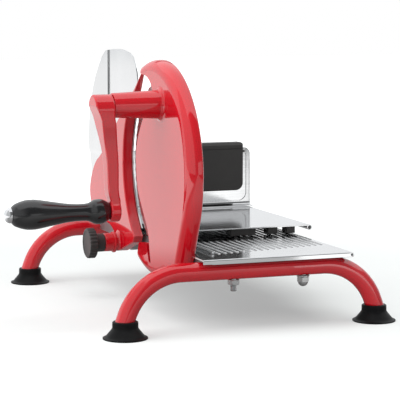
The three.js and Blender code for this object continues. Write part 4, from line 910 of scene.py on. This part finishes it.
def plate_carrier():
    near = arc(*AXIS, 91, -0.285 * pi, 0.24 * pi, 60)
    shape = spline(FAR_SIDE, 90) + arc(*SPINDLE, 9, 0, -0.6 * pi, 16) + HEEL + near + TIP
    web = slab("x", shape, CARRIER_BACK, CARRIER_FRONT, 1.4, 0.3, 4)
    sleeve = flared_boss(SPINDLE, CARRIER_BACK, SLEEVE_R, SLEEVE_R, SLEEVE_END, 3, 0.8, 6, 72)
    keep = join(slab("x", shape, SLEEVE_END - 2, CARRIER_FRONT),
                rod("x", SLEEVE_R, SLEEVE_END - 2, CARRIER_FRONT, SPINDLE, 0, 72))
    sleeve = meet(sleeve, keep)
    collar = rod("x", 10.4, -65.8, -63.2, SPINDLE, 0.6, 72, 4)
    top, inside = FAR_SIDE[0][1], CARRIER_FRONT - 3.6
    taper = slab("y", [(CARRIER_BACK - 1, top - 30), (CARRIER_BACK, top - 30), (inside, top),
                       (inside, top + 1), (CARRIER_BACK - 1, top + 1)], AXIS[0], AXIS[0] + 2 * RIM)
    c, s = cos(CREASE_ANGLE), sin(CREASE_ANGLE)
    room = warp(block(0, RIM, 0, RIM, 0, 3 * RIM, 0),
                lambda x, y, z: (CARRIER_FRONT + x * c - y * s, CREASE + x * s + y * c, z))
    holes = [rod("x", 2.1, CARRIER_FRONT - 6.1, CARRIER_FRONT + PAST, p, 0, 24)
             for p in STOP_SCREWS]
    bore = rod("x", 6.7, SLEEVE_END - PAST, CARRIER_FRONT + PAST, SPINDLE, 0)
    pin = rod("x", 2.6, CARRIER_BACK + 3, CARRIER_FRONT + PAST, GUIDE, 0)
    return cut(join(web, sleeve, collar), taper, room, bore, pin, *holes)


piece("plate_carrier", plate_carrier(), RED, bevel=0.5, segments=3, angle=35)


def stop_plate():
    """A sheet bent at the crease, with a step along it above the carrier."""
    disc_y, disc_z = from_axis([(1.104, 0.112)])[0]
    shape = arc(*AXIS, 88.5, -0.257 * pi, 0.2 * pi, 70) + spline(STOP_TOP, 48)
    shape += arc(disc_y, disc_z, 1.084 * RIM, 0.29 * pi, -0.235 * pi, 80) + [(disc_y + 70, 71)]
    sinks = [lathe("x", p, [(0, STOP_BACK - 1), (2.1, STOP_BACK - 1), (2.1, STOP_BACK),
                            (3.4, STOP_FRONT), (3.4, STOP_FRONT + 1), (0, STOP_FRONT + 1)], 32)
             for p in STOP_SCREWS]
    flat = cut(slab("x", shape, STOP_BACK, STOP_FRONT, 0.25, 0.25, 3), *sinks)
    bm = bmesh.new()
    bm.from_mesh(flat.data)
    lines = [((0, CREASE + d, 0), (0, 1, 0))
             for d in (-1.5, -0.75, -0.4, -0.2, 0, 0.2, 0.4, 0.75, 1.5)]
    lines += [((0, 0, z), (0, 0, 1)) for z in range(JOGGLE_LOW, JOGGLE_HIGH + 1)]
    for at, normal in lines:
        bmesh.ops.bisect_plane(bm, geom=bm.verts[:] + bm.edges[:] + bm.faces[:], dist=WELD,
                               plane_co=place(at), plane_no=normal)
    bm.to_mesh(flat.data)
    bm.free()

    def smooth(value, low, high):
        t = min(1.0, max(0.0, (value - low) / (high - low)))
        return t * t * (3 - 2 * t)

    def bend(x, y, z):
        start, end = CREASE - CREASE_HALF, CREASE + CREASE_HALF
        t = min(1.0, (y - start) / (end - start))
        if t <= 0:
            return (x, y, z)
        lean = CREASE_ANGLE * (min(y, end) - start) / 2 * t
        lean += max(0.0, y - end) * sin(CREASE_ANGLE)
        step = smooth(y, CREASE - JOGGLE_HALF, CREASE + JOGGLE_HALF)
        return (x - lean - JOGGLE * step * smooth(z, JOGGLE_LOW, JOGGLE_HIGH), y, z)

    return warp(flat, bend)


piece("stop_plate", stop_plate(), STEEL, angle=30)

for i, p in enumerate(STOP_SCREWS):
    face = STOP_FRONT - 0.1
    screw = lathe("x", p, [(0, -56), (1.6, -56), (2, -55.6), (2, STOP_BACK), (3.2, face - 0.05),
                           (3.15, face), (0, face)], 40)
    piece(f"stop_plate_screw_{i + 1}", driver_slot(screw, face, 0.6, p), STEEL)


def knob():
    """Fluted rim, dished face and a smooth neck."""
    def flutes(r, a):
        share = min(1.0, max(0.0, r - 13.9) / 0.8)
        return r - 0.5 * share * (1 - cos(24 * a)) ** 1.2 / 2 ** 0.6

    bore = 6.7
    face = [(0, KNOB_BACK + 0.5), (11.4, KNOB_BACK + 0.5)]
    outer = soften([(12, KNOB_BACK), (KNOB_R, KNOB_BACK), (KNOB_R, NECK_BACK), (9, NECK_BACK),
                    (9, KNOB_FRONT), (bore, KNOB_FRONT)], [0, 1.5, 1.1, 0.8, 0.5, 0])
    return lathe("x", SPINDLE, face + outer + [(bore, INSERT_BACK), (0, INSERT_BACK)], 384, flutes)


piece("slice_knob", knob(), PLASTIC, angle=40)
for name, radius, back, front, centre in (
        ("guide_spindle", SHAFT_R, INSERT_BACK + FIT, -36.5, SPINDLE),
        ("guide_pin", 2.5, CARRIER_BACK + 3.1, -24.4, GUIDE)):
    piece(name, rod("x", radius, back, front, centre, 0.5), ZINC)
for name, outer, back, front, centre in (
        ("knob_insert", 6.6, INSERT_BACK + GAP, -60.3, SPINDLE),
        ("sleeve_bush", 6.6, -60, -50, SPINDLE),
        ("crank_bush_inner", BUSH_R, -73.6, -59.6, CRANK),
        ("crank_bush_outer", BUSH_R, BEARING_END, -94.4, CRANK)):
    piece(name, ring("x", SHAFT_R + GAP, outer, back, front, centre), BRONZE)
piece("crank_shaft", rod("x", SHAFT_R, HUB_FRONT - 12.67, -54.2, CRANK, 0.4), ZINC)

for i, y in enumerate(TIES_Y):
    head = turned("x", (y, TIE_Z), [(0, -30.3), (4.5, -30.3), (4.5, -27.3), (0, -27.3)],
                  [0, 0.2, 0.7, 0], 4, 48)
    screw = join(head, rod("x", TIE_R, -55.4, -29.4, (y, TIE_Z), 0.4))
    screw = cut(screw, slab("x", hexagon(y, TIE_Z, 2.2), -29.3, -26))
    piece(f"housing_screw_{i + 1}", screw, ZINC, bevel=0.1)

# ------------ carriage, wall and pusher

CAR_LEFT, CAR_RIGHT, CAR_NEAR, CAR_FAR, CAR_TOP = -45.4, 108, -48, 118, 76.5
CAR_SHEET, CAR_HEM = 1.2, 2.6
GLIDE_LOW, GLIDE_TOP = RIB_TOP + 0.3, CAR_TOP - CAR_SHEET - GAP
RAIL_LOW = PLATE_TOP + GAP
WALL_LEFT, WALL_RIGHT, WALL_NEAR, WALL_FAR, WALL_TOP = -40, 109, 115.2, 116.7, 139
WALL_LOW = CAR_TOP + GAP
BORDER, BORDER_R = 104, 8
FLANGE_TOP = 126
STOP_PIN = (101.2, 135)

edge_x = CAR_RIGHT - CAR_HEM
car_line = soften([(CAR_LEFT, CAR_NEAR), (edge_x, CAR_NEAR), (edge_x, CAR_FAR),
                   (CAR_LEFT, CAR_FAR)], [1.5, 0, 0, 1.5], 4)
car_top = slab("z", car_line, CAR_TOP - CAR_SHEET, CAR_TOP, 0.25, 0.25, 3)
car_top = rolled_edge([car_top], edge_x, CAR_TOP, CAR_HEM, CAR_NEAR, CAR_FAR, 1.8, 12)
piece("carriage_plate", car_top, STEEL, angle=30)

runner = cut(block(-37.7, -25.7, CAR_NEAR + 2, CAR_FAR - 6, GLIDE_LOW, GLIDE_TOP, 0.6),
             block(-33.3, -30.1, CAR_NEAR - PAST, CAR_FAR + PAST, GLIDE_LOW - PAST, 70.1, 0))
piece("left_runner", runner, PLASTIC, bevel=0.2)
for name, x0, x1, y0, y1 in (("front", 23.5, 49.5, -46, -34), ("middle", 62.5, 72.5, -46, -34),
                             ("right", 82, 91, -46, -34), ("rear", 23.5, 91, 100, 112)):
    piece(f"{name}_glide", block(x0, x1, y0, y1, GLIDE_LOW, GLIDE_TOP, 0.7), PLASTIC)
piece("slide_rail", block(-33, -30.4, -142, 142, RAIL_LOW, RAIL_LOW + 2.2), STEEL)


def back_wall():
    """A sheet bent up from the carriage, with a flange, a fold line and a border groove."""
    bend_y, bend_z = WALL_FAR - 5, WALL_LOW + 5
    line = [(bend_y - 5, WALL_LOW)] + arc(bend_y, bend_z, 5, -pi / 2, 0, 14)
    line += soften([(WALL_FAR, bend_z), (WALL_FAR, WALL_TOP), (WALL_NEAR, WALL_TOP),
                    (WALL_NEAR, bend_z)], [0, 0.5, 0.5, 0], 4)[1:-1]
    line += arc(bend_y, bend_z, 5 - SHEET, 0, -pi / 2, 14) + [(bend_y - 5, WALL_LOW + SHEET)]
    face = soften([(WALL_LEFT, WALL_LOW - 1), (WALL_RIGHT, WALL_LOW - 1), (WALL_RIGHT, WALL_TOP),
                   (WALL_LEFT, WALL_TOP)], [0, 0, 7, 3], 14)
    bent = meet(slab("x", line, WALL_LEFT, WALL_RIGHT),
                slab("y", face, WALL_NEAR - 12, WALL_FAR + 1))
    flange = block(WALL_RIGHT - SHEET, WALL_RIGHT, WALL_NEAR, WALL_FAR + SHEET, bend_z, FLANGE_TOP,
                   0.25)
    start, centre, wide = WALL_LEFT - PAST, (BORDER - BORDER_R, 91.1), BORDER_R + 0.8
    groove = [(start, centre[1] - BORDER_R)] + arc(*centre, BORDER_R, -pi / 2, 0, 16)
    groove += [(BORDER, WALL_TOP + PAST), (BORDER + 0.8, WALL_TOP + PAST)]
    groove += arc(*centre, wide, 0, -pi / 2, 16) + [(start, centre[1] - wide)]
    near, deep = WALL_NEAR - PAST, WALL_NEAR + 1.1
    fold = block(WALL_RIGHT - 1.0, WALL_RIGHT - 0.3, near, deep, bend_z, FLANGE_TOP, 0)
    return cut(join(bent, flange), slab("y", groove, near, deep), fold,
               rod("y", 1.3, near, WALL_FAR + PAST, STOP_PIN, 0, 24))


piece("back_wall", back_wall(), STEEL, bevel=0.2)
strip_y = WALL_FAR + GAP
strip = block(WALL_LEFT, 92, strip_y, strip_y + 1, WALL_LOW, WALL_LOW + 5, 0.25)
piece("wall_strip", strip, PLASTIC)
piece("wall_stop_pin", rod("y", 1.2, 112.95, 118.95, STOP_PIN, 0.4, 32, 4), PLASTIC)


def food_pusher():
    """A grip plate with a slot that hangs on the wall, cut away behind it."""
    left, right, near, far, top = 13, 98, 106.9, 120.5, 145
    face = soften([(left, 94.3), (right, 94.3), (right, top), (left, top)], [8, 8, 2.6, 2.6], 10)
    whole = slab("y", face, near, far, 1.1, 0.8, 4)
    x0, x1, wall, low = left - PAST, right + PAST, WALL_NEAR - FIT, 93
    room = block(x0, x1, wall, WALL_FAR + FIT, low, WALL_TOP + FIT, 0)
    behind = block(x0, x1, wall, far + PAST, low, WALL_TOP - 17, 0)
    slope = slab("x", [(near - 1, top - 4), (near - 1, top + 1), (near + 3, top + 1)], x0, x1)
    line = block(x0, x1, near - PAST, near + 0.7, 137.9, 138.7, 0)
    return cut(whole, room, behind, slope, line)


piece("food_pusher", food_pusher(), PLASTIC, bevel=0.5, segments=3, angle=40)

# ------------ nodes that keep their own shape

KEPT = {"base_beam": CAST, "blade_axle": ZINC, "blade_bush": BRONZE, "blade_hub": ZINC,
        "crank_gear": NYLON, "idler_gear": NYLON, "idler_pin": ZINC, "crank_set_screw": ZINC}
for name, look in KEPT.items():
    node = frame["nodes"][name]
    if not node.material_slots:
        node.data.materials.append(None)
    for holder in node.material_slots:
        holder.link = "OBJECT"
        holder.material = LOOKS[look]
    round_edges(node, 0.6 if name == "base_beam" else 0.15, 2, KEPT_FROM)

# ------------ floor

PAPER, PAPER_MIRRORED = (0.57, 0.59, 0.58, 1), (0.12, 0.12, 0.12, 1)
FLOOR_HALF = 6.0  # metres


def pale_floor(t):
    """Grey paper that keeps the object's shadow. Away from the object it glows: white to the
    camera, and in mirrors bright at the back and left, dim in front and dark at the right."""
    ray = t.node("ShaderNodeLightPath").outputs
    glossy = ray["Is Glossy Ray"]
    away = t.node("ShaderNodeVectorMath", {0: t.coords}, operation="LENGTH").outputs["Value"]
    x, y, _ = t.axes()
    front = t.maths("MULTIPLY", t.fade(x, (-0.45, -0.15), 0.0, 0.4),
                    t.fade(x, (0.55, 0.85), 1.0, 0.0))
    left = t.maths("MULTIPLY", t.fade(x, (-0.50, -0.30), 1.0, 0.0), t.fade(y, (-0.90, -0.70)))
    back = t.fade(y, (-0.2, 0.1), 0.05, 1.0)
    shown = t.maths("MAXIMUM", front, back, left)
    mirrored = t.maths("MULTIPLY", t.fade(away, (0.15, 0.45), 0.25, 1.1), shown)
    seen = t.fade(away, (0.35, 1.1), 0.30, 1.0)
    level = t.maths("ADD", t.maths("MULTIPLY", ray["Is Camera Ray"], seen),
                    t.maths("MULTIPLY", glossy, mirrored))
    tone = t.node("ShaderNodeMix", {0: glossy, 6: PAPER, 7: PAPER_MIRRORED}, data_type="RGBA")
    paper = t.node("ShaderNodeBsdfDiffuse", {"Color": tone.outputs[2]})
    glow = t.node("ShaderNodeEmission", {"Strength": level})
    both = t.node("ShaderNodeAddShader", {0: paper.outputs[0], 1: glow.outputs[0]})
    t.node("ShaderNodeOutputMaterial", {0: both.outputs[0]})


floor_mesh = bpy.data.meshes.new("floor")
corners = [(u * FLOOR_HALF, v * FLOOR_HALF, 0) for u, v in ((-1, -1), (1, -1), (1, 1), (-1, 1))]
floor_mesh.from_pydata(corners, [], [(0, 1, 2, 3)])
floor_mesh.materials.append(bpy.data.materials.new("pale_floor"))
pale_floor(Tree(floor_mesh.materials[0]))
floor = bpy.data.objects.new("floor", floor_mesh)
scene.collection.objects.link(floor)

# ------------ light

# Levels of the room in mirrors, where 1 is white.
CEILING, ZENITH, BACKDROP, HORIZON, SEAM = 1.25, 1.1, 1.0, 0.8, 0.8
LEFT_WALL, RIGHT_WALL, ROOM_LIGHT = 0.6, 0.35, 0.16
# Levels of the light that falls on the object from the far left and from the right.
LEFT_LIGHT, RIGHT_LIGHT = 2.3, 0.15
COOL_WHITE, WHITE = (0.97, 0.985, 1.0, 1), (1, 1, 1, 1)


def studio_world(t):
    """White to the camera. In mirrors it is a white backdrop and a bright ceiling over a dim room.
    Edges are given as a share of the direction on one axis."""
    ray = t.node("ShaderNodeLightPath").outputs
    x, y, z = t.axes()
    band = t.maths("MULTIPLY", t.fade(x, (0.0, 0.15), 0.0, HORIZON),
                   t.fade(x, (0.48, 0.62), 1.0, 0.0), t.fade(z, (0.17, 0.22), 1.0, 0.0))
    overhead = t.maths("MULTIPLY", t.fade(z, (0.40, 0.45)), t.fade(y, (-0.47, -0.41)),
                       t.fade(z, (0.70, 0.90), CEILING, ZENITH), t.fade(x, (-0.52, -0.42)))
    seam = t.maths("MULTIPLY", t.fade(z, (0.33, 0.37), 0.0, SEAM),
                   t.fade(z, (0.40, 0.44), 1.0, 0.0), t.fade(x, (-0.05, 0.05)),
                   t.fade(y, (0.70, 0.85)), t.fade(x, (0.36, 0.42), 1.0, 0.0))
    behind = t.maths("SUBTRACT", t.fade(y, (0.0, 0.3), 0.0, BACKDROP), seam)
    level = t.maths("MAXIMUM", overhead, behind, band,
                    t.fade(x, (-0.40, -0.18), LEFT_WALL, 0.0),
                    t.fade(x, (0.50, 0.75), ROOM_LIGHT, RIGHT_WALL),
                    t.fade(x, (-0.40, -0.10), RIGHT_WALL, ROOM_LIGHT))
    side = t.span(x, LEFT_LIGHT, RIGHT_LIGHT, -0.7, 0.0)
    strength = t.node("ShaderNodeMix", {0: ray["Is Glossy Ray"], 2: side, 3: level}).outputs[0]
    room = t.node("ShaderNodeBackground", {"Color": COOL_WHITE, "Strength": strength})
    white = t.node("ShaderNodeBackground", {"Color": WHITE, "Strength": 1.0})
    mix = t.node("ShaderNodeMixShader", {0: ray["Is Camera Ray"], 1: room.outputs[0],
                                         2: white.outputs[0]})
    t.node("ShaderNodeOutputWorld", {0: mix.outputs[0]})


scene.world = bpy.data.worlds.new("studio")
studio_world(Tree(scene.world, "Generated"))


def lamp(name, where, target, watts, width, height, mirrored):
    data = bpy.data.lights.new(name, "AREA")
    data.shape = "RECTANGLE"
    data.size, data.size_y = width, height
    data.energy = watts
    obj = bpy.data.objects.new(name, data)
    obj.location = where
    obj.rotation_mode = "QUATERNION"
    obj.rotation_quaternion = (Vector(target) - Vector(where)).to_track_quat("-Z", "Y")
    obj.visible_camera = False
    obj.visible_glossy = mirrored
    scene.collection.objects.link(obj)


MIDDLE, WALL_FACE = (0, 0, 0.1), (0.12, 0.115, 0.1)
lamp("softbox_top", (0.05, -0.25, 1.5), MIDDLE, 14.5, 1.3, 1.3, False)
lamp("softbox_front", (0.6, -1.6, 1.0), MIDDLE, 3, 0.9, 0.4, False)
lamp("bounce_card", (0.264, -0.40, 0.045), WALL_FACE, 0.042, 0.17, 0.08, True)

# ------------ camera, fitted to the photograph

EYE, LOOKS_DOWN, TURNS_RIGHT = (-0.55435, -1.5916, 0.3017), 6.789, 20.589
LENS, SENSOR = 156.84, 36

camera = bpy.data.cameras.new("camera")
camera.lens, camera.sensor_width = LENS, SENSOR
camera.clip_start, camera.clip_end = 0.05, 50
eye = bpy.data.objects.new("camera", camera)
eye.location = EYE
eye.rotation_euler = (radians(90 - LOOKS_DOWN), 0, radians(-TURNS_RIGHT))
scene.collection.objects.link(eye)
scene.camera = eye
scene.view_settings.view_transform = "Standard"
